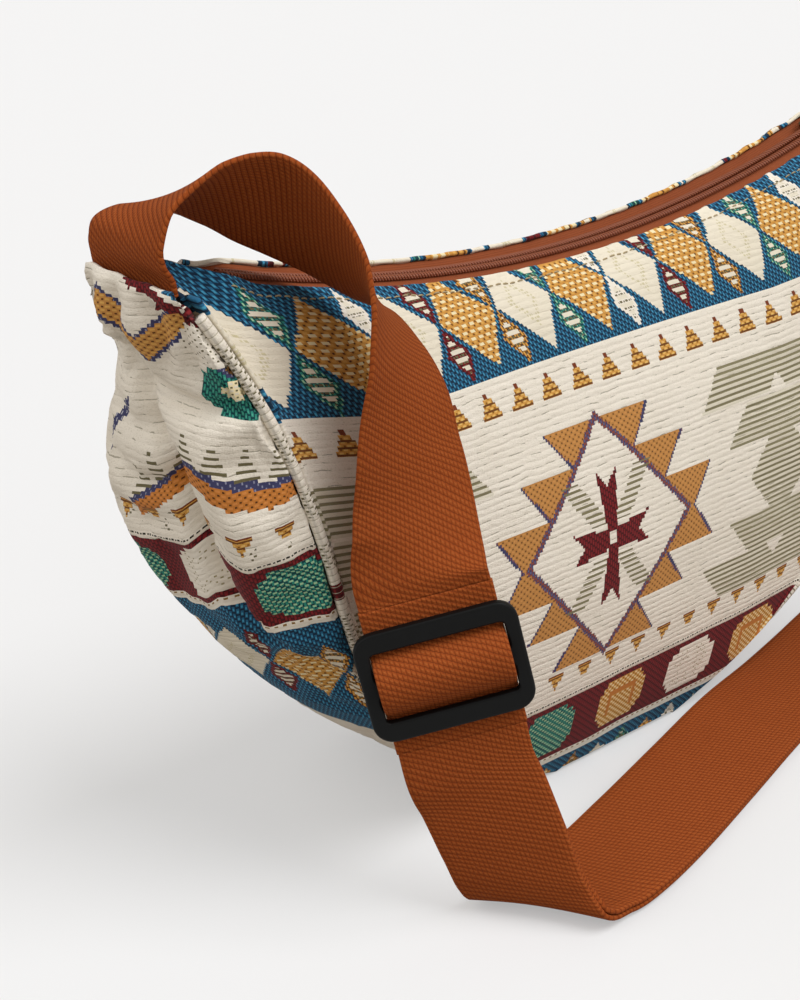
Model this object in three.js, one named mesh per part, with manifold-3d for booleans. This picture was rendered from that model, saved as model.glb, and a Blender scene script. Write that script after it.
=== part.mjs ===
// Crescent belt bag in patterned cloth, with a zip along its top edge and a webbing strap.
// Millimetres, +Z up. The bag stands on the plane z = 0, its length runs along X, its front faces -Y,
// and the origin lies under its middle. The strap is sewn into the left end, runs through a sliding
// adjuster, lies on the ground along the front, and doubles back through a ring at the right end.
import * as THREE from 'three';
import { mergeVertices } from 'three/addons/utils/BufferGeometryUtils.js';
import Module from 'manifold-3d';

const wasm = await Module();
wasm.setup();

// Bag body
const bagLength = 360;
const endHeight = 207;
const zipLowHeight = 180;
const zipArcRadius = 502;
const bellyDepth = 94;
const bellyTaper = 5;
const floorDepth = 68;
const bellyShare = 0.35;
const seamDepth = 88;
const seamFullShare = 0.4;
const seamTopWidth = 45.2;
const baseWidth = 64;
const cornerInset = 24;
const cornerPeak = 1.65;
const seamTurnShare = 0.38;
const topInset = 4;
const baseSag = 4;
const endPower = 1.18;
const basePower = 0.87;
const wall = 1.8;
const seamGap = 0.45;
const pipingDiameter = 3.6;
const pipingRise = 0.5;
const gatherDepth = 2.6;
const gatherCount = 3;

// Zip
const zipEndMargin = 35;
const zipOpening = 17;
const zipEndTaper = 10;
const closedTopGap = 2;
const tapeThickness = 0.8;
const tapeDrop = 2.2;
const coilWidth = 3.2;
const coilHeight = 2;
const toothGap = 0.15;
const toothNotch = 0.5;
const toothPitch = 5.5;
const chainGap = 1.2;
const sliderLength = 13;
const sliderWidth = 11.6;
const sliderPlate = 1.2;
const sliderFlange = 0.8;
const sliderClear = 0.3;
const sliderPost = 0.6;
const crownHeight = 4;
const crownWidth = 2.2;
const crownLength = 7;
const crownBar = 1.2;
const pullLength = 24;
const pullWidth = 7;
const pullThickness = 1.4;
const pullBar = 1.2;
const pullEye = 3.4;

// Strap, adjuster and ring
const strapWidth = 40;
const strapThickness = 1.8;
const layerGap = 0.3;
const strapRootInset = 5.6;
const adjusterThickness = 3.2;
const adjusterSideBar = 4.5;
const adjusterEndBar = 6.5;
const adjusterCentreBar = 5;
const adjusterSlot = 9;
const adjusterSideClear = 0.5;
const adjusterCorner = 6.5;
const adjusterEdge = 0.8;
const stitchedTail = 20;
const standingLap = 10;
const runLead = 16;
const adjusterReach = 24;
const ringBar = 4;
const ringDrop = 19;
const ringSideClear = 0.8;
const ringReach = 10;
const ringRise = 6.5;
const runLap = 23;

// Numbers of steps along and across the cloth
const seamSteps = 28;
const panelSteps = 10;
const gussetSteps = 12;
const pipingSteps = 50;
const pipingSides = 6;
const archSteps = 52;
const runSteps = 74;

const clothLook = new THREE.MeshStandardMaterial({ color: 0xe3dccb, roughness: 0.9, metalness: 0 });
const webbingLook = new THREE.MeshStandardMaterial({ color: 0x9c5128, roughness: 0.8, metalness: 0 });
const tapeLook = new THREE.MeshStandardMaterial({ color: 0x9b4f2c, roughness: 0.85, metalness: 0 });
const nylonLook = new THREE.MeshStandardMaterial({ color: 0x6e3820, roughness: 0.45, metalness: 0 });
const plasticLook = new THREE.MeshStandardMaterial({ color: 0x1c1c1c, roughness: 0.4, metalness: 0 });
const metalLook = new THREE.MeshStandardMaterial({ color: 0x5a4632, roughness: 0.35, metalness: 0.9 });

const bag = new THREE.Group();

function addPiece(name, geometry, material, parent = bag) {
  const piece = new THREE.Mesh(geometry, material);
  piece.name = name;
  parent.add(piece);
  return piece;
}

function smooth(low, high, value) {
  return THREE.MathUtils.smoothstep(value, low, high);
}

// A closed solid from rows of points that all have the same count; each row is a closed loop.
// Both broad faces are split along the same diagonals, so that a twisted layer stays parallel to the next.
function loft(rings) {
  const count = rings[0].length;
  const corners = rings.flat().flatMap((point) => point.toArray());
  const faces = [];
  for (let row = 0; row + 1 < rings.length; row += 1) {
    for (let side = 0; side < count; side += 1) {
      const next = (side + 1) % count;
      const low = row * count;
      const high = low + count;
      if (side < count / 2) {
        faces.push(low + side, low + next, high + next, low + side, high + next, high + side);
      } else {
        faces.push(low + side, low + next, high + side, low + next, high + next, high + side);
      }
    }
  }
  const last = (rings.length - 1) * count;
  for (let side = 1; side + 1 < count; side += 1) {
    faces.push(0, side + 1, side, last, last + side, last + side + 1);
  }
  return facingOut(corners, faces);
}

// A sheet of even thickness: its outer face is the grid, its inner face lies towards the inside point.
function sheet(grid, thickness, inside) {
  const rows = grid.length;
  const columns = grid[0].length;
  const inner = grid.map((row, i) => row.map((point, j) => {
    const alongRows = grid[Math.min(i + 1, rows - 1)][j].clone().sub(grid[Math.max(i - 1, 0)][j]);
    const alongColumns = row[Math.min(j + 1, columns - 1)].clone().sub(row[Math.max(j - 1, 0)]);
    const normal = alongRows.cross(alongColumns).normalize();
    const outwards = Math.sign(normal.dot(point.clone().sub(inside(point))));
    return point.clone().addScaledVector(normal, -outwards * thickness);
  }));
  const corners = [grid, inner].flat(2).flatMap((point) => point.toArray());
  const at = (layer, i, j) => layer * rows * columns + i * columns + j;
  const faces = [];
  const quad = (a, b, c, d) => faces.push(a, b, c, a, c, d);
  for (let i = 0; i + 1 < rows; i += 1) {
    for (let j = 0; j + 1 < columns; j += 1) {
      quad(at(0, i, j), at(0, i + 1, j), at(0, i + 1, j + 1), at(0, i, j + 1));
      quad(at(1, i, j), at(1, i, j + 1), at(1, i + 1, j + 1), at(1, i + 1, j));
    }
  }
  for (let i = 0; i + 1 < rows; i += 1) {
    quad(at(0, i, 0), at(1, i, 0), at(1, i + 1, 0), at(0, i + 1, 0));
    quad(at(0, i, columns - 1), at(0, i + 1, columns - 1), at(1, i + 1, columns - 1), at(1, i, columns - 1));
  }
  for (let j = 0; j + 1 < columns; j += 1) {
    quad(at(0, 0, j), at(0, 0, j + 1), at(1, 0, j + 1), at(1, 0, j));
    quad(at(0, rows - 1, j), at(1, rows - 1, j), at(1, rows - 1, j + 1), at(0, rows - 1, j + 1));
  }
  return facingOut(corners, faces);
}

function facingOut(corners, faces) {
  let volume = 0;
  const corner = (index) => new THREE.Vector3().fromArray(corners, 3 * index);
  for (let face = 0; face < faces.length; face += 3) {
    const [a, b, c] = [0, 1, 2].map((step) => corner(faces[face + step]));
    volume += a.dot(b.cross(c));
  }
  if (volume < 0) {
    faces.reverse();
  }
  const geometry = new THREE.BufferGeometry();
  geometry.setAttribute('position', new THREE.Float32BufferAttribute(corners, 3));
  geometry.setIndex(faces);
  geometry.computeVertexNormals();
  return geometry;
}

function toSolid(geometry) {
  const bare = geometry.clone();
  bare.deleteAttribute('normal');
  bare.deleteAttribute('uv');
  const merged = mergeVertices(bare, 1e-4);
  return new wasm.Manifold(new wasm.Mesh({
    numProp: 3,
    vertProperties: new Float32Array(merged.attributes.position.array),
    triVerts: new Uint32Array(merged.index.array),
  }));
}

function joined(geometries) {
  const mesh = geometries.map(toSolid).reduce((whole, piece) => whole.add(piece)).getMesh();
  const geometry = new THREE.BufferGeometry();
  geometry.setAttribute('position', new THREE.Float32BufferAttribute(mesh.vertProperties, 3));
  geometry.setIndex(new THREE.Uint32BufferAttribute(mesh.triVerts, 1));
  geometry.computeVertexNormals();
  return geometry;
}

const zipHalfLength = bagLength / 2 - zipEndMargin;
const sliderPlace = zipHalfLength - sliderLength / 2;

// Height of the top edge of the cloth: one long arc, lowest at mid length.
function topHeight(x) {
  return zipLowHeight + zipArcRadius - Math.sqrt(zipArcRadius ** 2 - x ** 2);
}

// Half the gap between the front and back cloth along the top: the zip, then closed at both ends.
function topHalfGap(x) {
  const closing = smooth(zipHalfLength + zipEndTaper / 2, zipHalfLength + 1.5 * zipEndTaper, Math.abs(x));
  return THREE.MathUtils.lerp(zipOpening / 2, closedTopGap / 2, closing);
}

// The gusset's middle line: a rounded half-moon from the left end, under the bag, to the right end.
function keelPoint(turn) {
  const x = Math.sign(turn) * bagLength / 2 * Math.abs(Math.sin(turn)) ** endPower;
  const drop = (endHeight + baseSag) * Math.max(0, Math.cos(turn)) ** basePower;
  return new THREE.Vector3(x, 0, Math.max(0, endHeight - drop));
}

function keelCurve() {
  const steps = 240;
  const points = [];
  for (let step = 0; step <= steps; step += 1) {
    points.push(keelPoint((step / steps - 0.5) * Math.PI));
  }
  const curve = new THREE.CatmullRomCurve3(points, false, 'chordal');
  curve.arcLengthDivisions = 1200;
  return curve;
}

// Half the distance between the two seams at a height that is a share of the end's height.
function seamHalfDepth(share) {
  const full = seamDepth / 2;
  if (share > seamFullShare) {
    const rise = (share - seamFullShare) / (1 - seamFullShare);
    return full - (full - seamTopWidth / 2) * rise ** 2;
  }
  const fall = (seamFullShare - share) / seamFullShare;
  return full - (full - baseWidth / 2) * fall ** 2;
}

function seamPoint(keel) {
  const share = keel.z / endHeight;
  const inset = topInset * share + cornerInset * Math.sin(Math.PI * Math.min(1, share) ** cornerPeak);
  return new THREE.Vector3(keel.x - Math.sign(keel.x) * inset, -seamHalfDepth(share), keel.z);
}

function pointAlong(keel, share) {
  const point = keel.getPointAt(THREE.MathUtils.clamp(share, 0, 1));
  point.z = Math.max(0, point.z);
  return point;
}

// Stations along the front seam, each with the direction along the cloth into the front panel.
function seamStations(count, trim) {
  const keel = keelCurve();
  const shareStart = trim / keel.getLength();
  const stations = [];
  for (let step = 0; step <= count; step += 1) {
    const share = THREE.MathUtils.lerp(shareStart, 1 - shareStart, step / count);
    const nudge = 0.002;
    const middle = pointAlong(keel, share);
    const before = seamPoint(pointAlong(keel, share - nudge));
    const after = seamPoint(pointAlong(keel, share + nudge));
    const seam = seamPoint(middle);
    const along = after.sub(before).normalize();
    const lean = Math.PI / 2 * (1 - smooth(0, seamTurnShare, middle.z / endHeight));
    const outwards = new THREE.Vector3(0, -Math.cos(lean), -Math.sin(lean));
    const intoPanel = outwards.clone().cross(along).normalize();
    stations.push({ keel: middle, seam, outwards, intoPanel, lean });
  }
  return stations;
}

const seamClear = pipingDiameter / 2 + seamGap;
const backwards = new THREE.Vector3(1, -1, 1);
const insideBag = (point) => new THREE.Vector3(point.x * 0.8, 0, THREE.MathUtils.clamp(point.z, 40, 150));

// Half depth of the free cloth at a place on the front panel.
function bellyHalfDepth(x, z) {
  const belly = bellyDepth / 2 - bellyTaper * (2 * x / bagLength) ** 2;
  const share = z / topHeight(x);
  if (share > bellyShare) {
    const rise = Math.min(1, (share - bellyShare) / (1 - bellyShare));
    return topHalfGap(x) + (belly - topHalfGap(x)) * (1 - rise ** 2) ** 0.75;
  }
  const fall = (bellyShare - share) / bellyShare;
  return belly - (belly - floorDepth / 2) * fall ** 2.2;
}

function panelGrid() {
  const trim = 5;
  return seamStations(seamSteps, trim).map(({ seam, intoPanel, lean }) => {
    const edge = seam.clone().addScaledVector(intoPanel, seamClear + wall * Math.sin(lean));
    const edgeDepth = -edge.y - bellyHalfDepth(edge.x, edge.z);
    const top = topHeight(edge.x);
    const column = [];
    for (let step = 0; step <= panelSteps; step += 1) {
      const share = step / panelSteps;
      const z = edge.z + (top - edge.z) * (1 + Math.cos(Math.PI * share)) / 2;
      const depth = bellyHalfDepth(edge.x, z) + edgeDepth * share ** 3;
      column.push(new THREE.Vector3(edge.x, -depth, z));
    }
    return column;
  });
}

function addPanels() {
  const front = panelGrid();
  const back = front.map((column) => column.map((point) => point.clone().multiply(backwards)));
  addPiece('front_panel', sheet(front, wall, insideBag), clothLook);
  addPiece('back_panel', sheet(back, wall, insideBag), clothLook);
}

// Gathers press into the gusset below the strap root and fade out towards the belly.
function gather(share, across) {
  const held = smooth(0.45, 0.75, share) * (1 - smooth(0.82, 0.97, share));
  return gatherDepth * held * (0.5 - 0.5 * Math.cos(2 * Math.PI * gatherCount * (across + 1) / 2));
}

function addGusset() {
  const grid = seamStations(seamSteps, 0).map(({ keel, seam, intoPanel }) => {
    const edge = seam.clone().addScaledVector(intoPanel, -seamClear);
    const row = [];
    for (let step = 0; step <= gussetSteps; step += 1) {
      const across = 2 * step / gussetSteps - 1;
      const turn = across * Math.PI / 2;
      const inwards = 1 - Math.cos(turn);
      const pressed = -Math.sign(keel.x) * gather(keel.z / endHeight, across) * (1 - inwards);
      row.push(new THREE.Vector3(
        keel.x + (edge.x - keel.x) * inwards + pressed,
        -edge.y * Math.sin(turn),
        keel.z + (edge.z - keel.z) * inwards,
      ));
    }
    return row;
  });
  addPiece('gusset', sheet(grid, wall, insideBag), clothLook);
}

// Rolled cloth piping along the two seams; under the bag it is pressed flat to the ground line.
function addPiping() {
  const trim = 8;
  const radius = pipingDiameter / 2;
  const route = seamStations(pipingSteps, trim).map(({ seam, outwards }) => {
    const point = seam.clone().addScaledVector(outwards, pipingRise);
    point.z = Math.max(point.z, radius);
    return point;
  });
  const section = new THREE.Shape(new THREE.EllipseCurve(0, 0, radius, radius).getPoints(pipingSides).slice(1));
  for (const [name, side] of [['front_piping', 1], ['back_piping', -1]]) {
    const points = route.map((point) => new THREE.Vector3(point.x, side * point.y, point.z));
    const extrudePath = new THREE.CatmullRomCurve3(points, false, 'chordal');
    const tube = new THREE.ExtrudeGeometry(section, { steps: pipingSteps, extrudePath, bevelEnabled: false });
    addPiece(name, tube, clothLook);
  }
}

// Zip: two tapes under the cloth edges, each with a row of coil teeth.
function addZipChain(name, side) {
  const tapeSteps = 30;
  const tape = [];
  for (let step = 0; step <= tapeSteps; step += 1) {
    const x = THREE.MathUtils.lerp(-zipHalfLength, zipHalfLength, step / tapeSteps);
    const high = topHeight(x) - tapeDrop;
    const low = high - tapeThickness;
    const near = side * chainGap / 2;
    const far = side * (zipOpening / 2 - 2 * seamGap);
    tape.push([[near, low], [far, low], [far, high], [near, high]].map(([y, z]) => new THREE.Vector3(x, y, z)));
  }
  addPiece(`${name}_zip_tape`, loft(tape), tapeLook);

  const halfTeeth = 2 * Math.floor(2 * zipHalfLength / toothPitch);
  const coil = [];
  for (let step = 0; step <= halfTeeth; step += 1) {
    const x = THREE.MathUtils.lerp(-zipHalfLength, zipHalfLength, step / halfTeeth);
    const crest = step % 2 === 1;
    const low = topHeight(x) - tapeDrop + toothGap;
    const high = low + coilHeight * (crest ? 1 : 0.55);
    const near = side * (chainGap / 2 + (crest ? 0 : toothNotch));
    const far = side * (chainGap / 2 + coilWidth - (crest ? 0 : toothNotch));
    coil.push([[near, low], [far, low], [far, high], [near, high]].map(([y, z]) => new THREE.Vector3(x, y, z)));
  }
  addPiece(`${name}_zip_coil`, loft(coil), nylonLook);
}

function plate(outline, thickness, low) {
  const geometry = new THREE.ExtrudeGeometry(outline, { depth: thickness, bevelEnabled: false, curveSegments: 4 });
  return geometry.translate(0, 0, low);
}

// Outline of the slider's plates: round at the rear, shouldered at the nose.
function sliderOutline(width) {
  const half = sliderLength / 2;
  const outline = new THREE.Shape();
  outline.moveTo(-half + 2, -width * 0.4);
  outline.lineTo(half - 4, -width / 2);
  outline.lineTo(half - 1, -width / 2);
  outline.quadraticCurveTo(half, -width / 4, half, 0);
  outline.quadraticCurveTo(half, width / 4, half - 1, width / 2);
  outline.lineTo(half - 4, width / 2);
  outline.lineTo(-half + 2, width * 0.4);
  outline.quadraticCurveTo(-half, width * 0.35, -half, 0);
  outline.quadraticCurveTo(-half, -width * 0.35, -half + 2, -width * 0.4);
  return outline;
}

function roundedRectangle(Kind, width, height, radius) {
  const right = width / 2;
  const top = height / 2;
  const outline = new Kind();
  outline.moveTo(right - radius, -top);
  outline.absarc(right - radius, -top + radius, radius, -Math.PI / 2, 0);
  outline.absarc(right - radius, top - radius, radius, 0, Math.PI / 2);
  outline.absarc(-right + radius, top - radius, radius, Math.PI / 2, Math.PI);
  outline.absarc(-right + radius, -top + radius, radius, Math.PI, 1.5 * Math.PI);
  return outline;
}

// The slider rides the chain at the right end; its plates hold the coils and a thin post joins them.
function addSlider() {
  const chainTop = -tapeDrop + toothGap + coilHeight;
  const plateLow = chainTop + sliderClear;
  const plateHigh = plateLow + sliderPlate;
  const underHigh = -tapeDrop - tapeThickness - sliderClear;
  const underLow = underHigh - sliderPlate;
  const sinkIn = 0.2;

  const seat = new THREE.Group();
  seat.position.set(sliderPlace, 0, topHeight(sliderPlace));
  seat.rotation.y = -Math.asin(sliderPlace / zipArcRadius);
  bag.add(seat);

  const top = plate(sliderOutline(sliderWidth), sliderPlate, plateLow);
  const under = plate(sliderOutline(sliderWidth * 0.8), sliderPlate, underLow);
  const postLength = 4.5;
  const post = new THREE.BoxGeometry(postLength, sliderPost, plateHigh - underLow - sinkIn);
  post.translate(sliderLength / 4, 0, (plateHigh + underLow) / 2);
  const flangeLength = 2.6;
  const flangeLow = -tapeDrop + sliderClear;
  const flangeHigh = plateHigh - sinkIn;
  const flanges = [1, -1].map((side) => {
    const flange = new THREE.BoxGeometry(flangeLength, sliderFlange, flangeHigh - flangeLow);
    const out = side * (sliderWidth - sliderFlange) / 2;
    return flange.translate(sliderLength / 2 - flangeLength, out, (flangeLow + flangeHigh) / 2);
  });

  const crownShape = new THREE.Shape();
  const halfCrown = crownLength / 2;
  crownShape.moveTo(-halfCrown, 0);
  crownShape.lineTo(halfCrown, 0);
  crownShape.lineTo(halfCrown, crownHeight / 2);
  crownShape.quadraticCurveTo(halfCrown, crownHeight, 0, crownHeight);
  crownShape.quadraticCurveTo(-halfCrown, crownHeight, -halfCrown, crownHeight / 2);
  const crownHole = new THREE.Path();
  const holeHalf = halfCrown - crownBar;
  crownHole.moveTo(-holeHalf, crownBar / 2);
  crownHole.lineTo(holeHalf, crownBar / 2);
  crownHole.lineTo(holeHalf, crownHeight / 2);
  crownHole.quadraticCurveTo(holeHalf, crownHeight - crownBar, 0, crownHeight - crownBar);
  crownHole.quadraticCurveTo(-holeHalf, crownHeight - crownBar, -holeHalf, crownHeight / 2);
  crownShape.holes.push(crownHole);
  const crown = new THREE.ExtrudeGeometry(crownShape, { depth: crownWidth, bevelEnabled: false, curveSegments: 4 });
  crown.translate(0, 0, -crownWidth / 2).rotateX(Math.PI / 2).translate(0, 0, plateHigh - sinkIn / 2);
  addPiece('zip_slider', joined([top, under, post, ...flanges, crown]), metalLook, seat);

  const pullHinge = plateHigh + (crownHeight - crownBar / 2 - sinkIn) / 2;
  const pullShape = roundedRectangle(THREE.Shape, pullLength, pullWidth, pullWidth / 3);
  const eye = roundedRectangle(THREE.Path, pullEye, crownWidth + 1.6, 0.8);
  const eyePlace = pullLength / 2 - pullBar - pullEye / 2;
  const eyePoints = eye.getPoints(3).map((point) => new THREE.Vector2(point.x - eyePlace, point.y));
  pullShape.holes.push(new THREE.Path(eyePoints));
  const pull = new THREE.ExtrudeGeometry(pullShape, { depth: pullThickness, bevelEnabled: false, curveSegments: 4 });
  pull.translate((pullLength - pullBar) / 2, 0, pullHinge - pullThickness / 2);
  addPiece('zip_pull', pull, metalLook, seat);
}

// A flat ribbon along a list of stations: each has a middle point and the direction across the strap.
// A layer beside the first one is set off along the ribbon's face and may start part of the way along.
function ribbon(stations, steps, offset = 0, start = 0) {
  const centre = new THREE.CatmullRomCurve3(stations.map(({ point }) => point), false, 'centripetal');
  const across = new THREE.CatmullRomCurve3(stations.map(({ side }) => side), false, 'catmullrom', 0.5);
  const shares = [start];
  for (let step = 0; step <= steps; step += 1) {
    if (step / steps > start + 0.3 / steps) {
      shares.push(step / steps);
    }
  }
  return loft(shares.map((share) => {
    const { point, side, face } = ribbonFrame(centre, across, share);
    return [[-1, -1], [1, -1], [1, 1], [-1, 1]].map(([edge, layer]) => point.clone()
      .addScaledVector(side, edge * strapWidth / 2)
      .addScaledVector(face, offset + layer * strapThickness / 2));
  }));
}

function ribbonFrame(centre, across, share) {
  const point = centre.getPoint(share);
  const along = centre.getTangent(share);
  const side = across.getPoint(share);
  side.addScaledVector(along, -side.dot(along)).normalize();
  const face = along.clone().cross(side);
  return { point, side, face };
}

// A place on the strap, in hundredths of the bag's length, depth and height, and the direction across it.
function onBag(x, y, z) {
  return new THREE.Vector3(x * bagLength, y * bellyDepth, z * endHeight).divideScalar(100);
}

function station(x, y, z, sideX, sideY, sideZ) {
  return { point: onBag(x, y, z), side: new THREE.Vector3(sideX, sideY, sideZ) };
}

// Adjuster frame: a seat whose X lies across the strap, whose Y points up along it and Z faces out.
const adjusterPlace = onBag(-34.17, -79.26, 43.48);
const strapDown = new THREE.Vector3(0.15, -0.19, -0.97).normalize();
const strapAcross = new THREE.Vector3(0.79, -0.57, 0.23);
strapAcross.addScaledVector(strapDown, -strapAcross.dot(strapDown)).normalize();
const strapFace = strapDown.clone().cross(strapAcross);
const adjusterSeat = new THREE.Group();
adjusterSeat.position.copy(adjusterPlace);
adjusterSeat.setRotationFromMatrix(
  new THREE.Matrix4().makeBasis(strapAcross, strapDown.clone().negate(), strapFace),
);
bag.add(adjusterSeat);

const layerPitch = strapThickness + layerGap;
const behindFrame = adjusterThickness / 2 + layerGap + strapThickness / 2;
const overBar = adjusterThickness / 2 + layerGap + strapThickness / 2;

function atAdjuster(down, out, turned = 1) {
  const point = adjusterPlace.clone().addScaledVector(strapDown, down).addScaledVector(strapFace, out);
  return { point, side: strapAcross.clone().multiplyScalar(turned) };
}

function addAdjuster() {
  const width = strapWidth + 2 * (adjusterSideClear + adjusterSideBar);
  const height = 2 * (adjusterEndBar + adjusterSlot) + adjusterCentreBar;
  const outline = roundedRectangle(THREE.Shape, width, height, adjusterCorner);
  const slotMiddle = (adjusterCentreBar + adjusterSlot) / 2;
  for (const side of [1, -1]) {
    const slot = roundedRectangle(THREE.Path, strapWidth + 2 * adjusterSideClear, adjusterSlot, 1.5);
    const points = slot.getPoints(3).map((point) => new THREE.Vector2(point.x, point.y + side * slotMiddle));
    outline.holes.push(new THREE.Path(points));
  }
  const frame = new THREE.ExtrudeGeometry(outline, {
    depth: adjusterThickness - 2 * adjusterEdge,
    bevelThickness: adjusterEdge,
    bevelSize: adjusterEdge,
    bevelOffset: -adjusterEdge,
    bevelSegments: 1,
    curveSegments: 4,
  });
  frame.translate(0, 0, adjusterEdge - adjusterThickness / 2);
  addPiece('strap_adjuster', frame, plasticLook, adjusterSeat);
}

// A ribbon inside the adjuster's seat, along points given as height on the strap and distance out.
function seatRibbon(route, steps) {
  const across = new THREE.Vector3(1, 0, 0);
  return ribbon(route.map(([y, z]) => ({ point: new THREE.Vector3(0, y, z), side: across })), steps);
}

// The strap's free run passes behind the top bar, over the wrapped centre bar and behind the lower bar.
function addThreading() {
  const slotEdge = adjusterCentreBar / 2 + adjusterSlot;
  const crest = overBar + layerPitch;
  const rise = [
    [adjusterReach, -behindFrame],
    [slotEdge + 3, -behindFrame],
    [slotEdge - 0.4, -behindFrame + 0.1],
    [slotEdge - 4.2, 0.9],
    [adjusterCentreBar / 2 + 1.6, crest - 0.9],
    [0, crest],
  ];
  const fall = rise.slice(0, -1).reverse().map(([y, z]) => [-y, z]);
  addPiece('strap_threading', seatRibbon([...rise, ...fall], 28), webbingLook, adjusterSeat);
}

// The strap's sewn end comes up behind, wraps the centre bar and is stitched down onto itself.
function addStitchedEnd() {
  const wrap = adjusterCentreBar / 2 + 2 * layerGap + strapThickness / 2;
  const tail = -behindFrame - layerPitch;
  const standing = tail - layerPitch;
  const route = [
    [-stitchedTail - standingLap, tail],
    [-stitchedTail - 0.6 * standingLap, tail - 0.7],
    [-stitchedTail, standing],
    [-wrap - 8, standing],
    [-wrap - 2, standing + 1.8],
    [-wrap + 1.4, -overBar - 0.6],
    [wrap - 2, -overBar],
    [wrap - 0.35, -overBar + 1.1],
    [wrap, 0],
    [wrap - 0.35, overBar - 1.1],
    [wrap - 2, overBar],
    [-wrap + 2, overBar],
    [-wrap + 0.35, overBar - 1.1],
    [-wrap - 0.2, 0],
    [-wrap - 1.8, -2.4],
    [-wrap - 5.2, tail + 0.2],
    [-wrap - 9, tail],
    [-stitchedTail, tail],
  ];
  addPiece('strap_stitched_end', seatRibbon(route, 44), webbingLook, adjusterSeat);
}

// From the left end the strap rises, folds over, turns on edge and drops in front of the bag.
function addStrapArch() {
  const root = new THREE.Vector3(-bagLength / 2 + strapRootInset, 0, endHeight);
  const fromRoot = (x, z, turn) => ({
    point: root.clone().add(new THREE.Vector3(x, 0, z)),
    side: new THREE.Vector3(turn, -1, 0),
  });
  addPiece('strap_arch', ribbon([
    fromRoot(0, -3, 0),
    fromRoot(-0.8, 1.3, 0),
    fromRoot(-2.4, 6, -0.06),
    fromRoot(-2, 10.8, -0.12),
    station(-47.33, -0.64, 108.12, -0.19, -0.98, 0.10),
    station(-44.89, -2.13, 109.47, -0.22, -0.95, 0.23),
    station(-42.56, -4.04, 109.76, -0.21, -0.88, 0.43),
    station(-40.42, -6.6, 109.18, -0.13, -0.75, 0.65),
    station(-38.33, -10.64, 107.83, -0.03, -0.65, 0.76),
    station(-36.56, -16.38, 105.6, -0.06, -0.67, 0.74),
    station(-34.78, -26.17, 101.64, -0.24, -0.73, 0.64),
    station(-33.56, -35.96, 97.25, -0.45, -0.72, 0.52),
    station(-32.75, -44.68, 92.75, -0.73, -0.61, 0.33),
    station(-32.64, -51.28, 87.2, -0.90, -0.39, 0.19),
    station(-32.89, -55.64, 80.92, -0.98, -0.17, 0.13),
    station(-33.17, -59.57, 74.54, -1, 0.06, 0.06),
    station(-33.39, -63.09, 68.16, -0.95, 0.30, 0),
    station(-33.78, -67.23, 61.59, -0.84, 0.52, -0.13),
    atAdjuster(-adjusterReach - 6, -behindFrame, -1),
    atAdjuster(-adjusterReach - layerGap, -behindFrame, -1),
  ], archSteps), webbingLook);
}

// Below the adjuster the strap is double: down to the ground, along the front, and up to the ring.
const ringTurn = ringBar * 0.6 + layerGap + strapThickness / 2;
const ringHinge = new THREE.Vector3(bagLength / 2 + ringReach, 0, endHeight + ringRise);
const ringHang = new THREE.Vector3(0.23, 0, -0.97).normalize();
const ringLow = ringHinge.clone().addScaledVector(ringHang, ringDrop);
const runEnd = new THREE.Vector3(ringLow.x + ringTurn, 0, ringLow.z - runLap);

function runStations() {
  return [
    atAdjuster(adjusterReach + layerGap, -behindFrame),
    atAdjuster(stitchedTail + runLead, -behindFrame),
    station(-31.25, -87.23, 21.26, 0.72, -0.66, 0.22),
    station(-30, -90.96, 14.49, 0.60, -0.76, 0.22),
    station(-28.75, -95.21, 7.73, 0.38, -0.90, 0.20),
    station(-26.94, -98.51, 3.38, 0.10, -0.98, 0.10),
    station(-23.61, -99.79, 1.45, 0.08, -0.99, 0),
    station(-18.33, -97.66, 1.45, 0.18, -0.98, -0.06),
    station(-11.39, -92.13, 1.69, 0.243, -0.965, -0.12),
    station(0, -80.32, 1.69, 0.243, -0.965, -0.12),
    station(11.67, -67.55, 1.45, 0.25, -0.965, -0.10),
    station(22.22, -57.45, 0.87, 0.25, -0.97, -0.02),
    station(33.33, -46.81, 0.72, 0.25, -0.97, 0),
    station(43.06, -36.7, 0.87, 0.27, -0.965, 0),
    station(50, -27.66, 2.9, 0.30, -0.95, 0),
    station(54.72, -19.15, 8.7, 0.20, -0.98, 0),
    station(56.94, -11.7, 19.32, 0.06, -1, 0),
    station(57.22, -5.32, 38.65, 0.02, -1, 0),
    station(56.39, -1.6, 62.8, 0, -1, 0),
    { point: runEnd.clone().addScaledVector(ringHang, runLap / 2), side: new THREE.Vector3(0, -1, 0) },
    { point: runEnd.clone(), side: new THREE.Vector3(0, -1, 0) },
  ];
}

// The return layer lies against the outer run, on the inner side of its bends.
function addStrapRuns() {
  const stations = runStations();
  const firstSpan = stitchedTail + runLead - adjusterReach - layerGap;
  const sewnSpan = stitchedTail + standingLap + 3 * layerGap - adjusterReach;
  const innerStart = sewnSpan / firstSpan / (stations.length - 1);
  addPiece('strap_outer_run', ribbon(stations, runSteps), webbingLook);
  addPiece('strap_inner_run', ribbon(stations, runSteps, -layerPitch, innerStart), webbingLook);
}

// A ribbon in the plane y = 0 along points given as x and z.
function flatRibbon(route, steps) {
  const across = new THREE.Vector3(0, -1, 0);
  return ribbon(route.map(([x, z]) => ({ point: new THREE.Vector3(x, 0, z), side: across })), steps);
}

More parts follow.
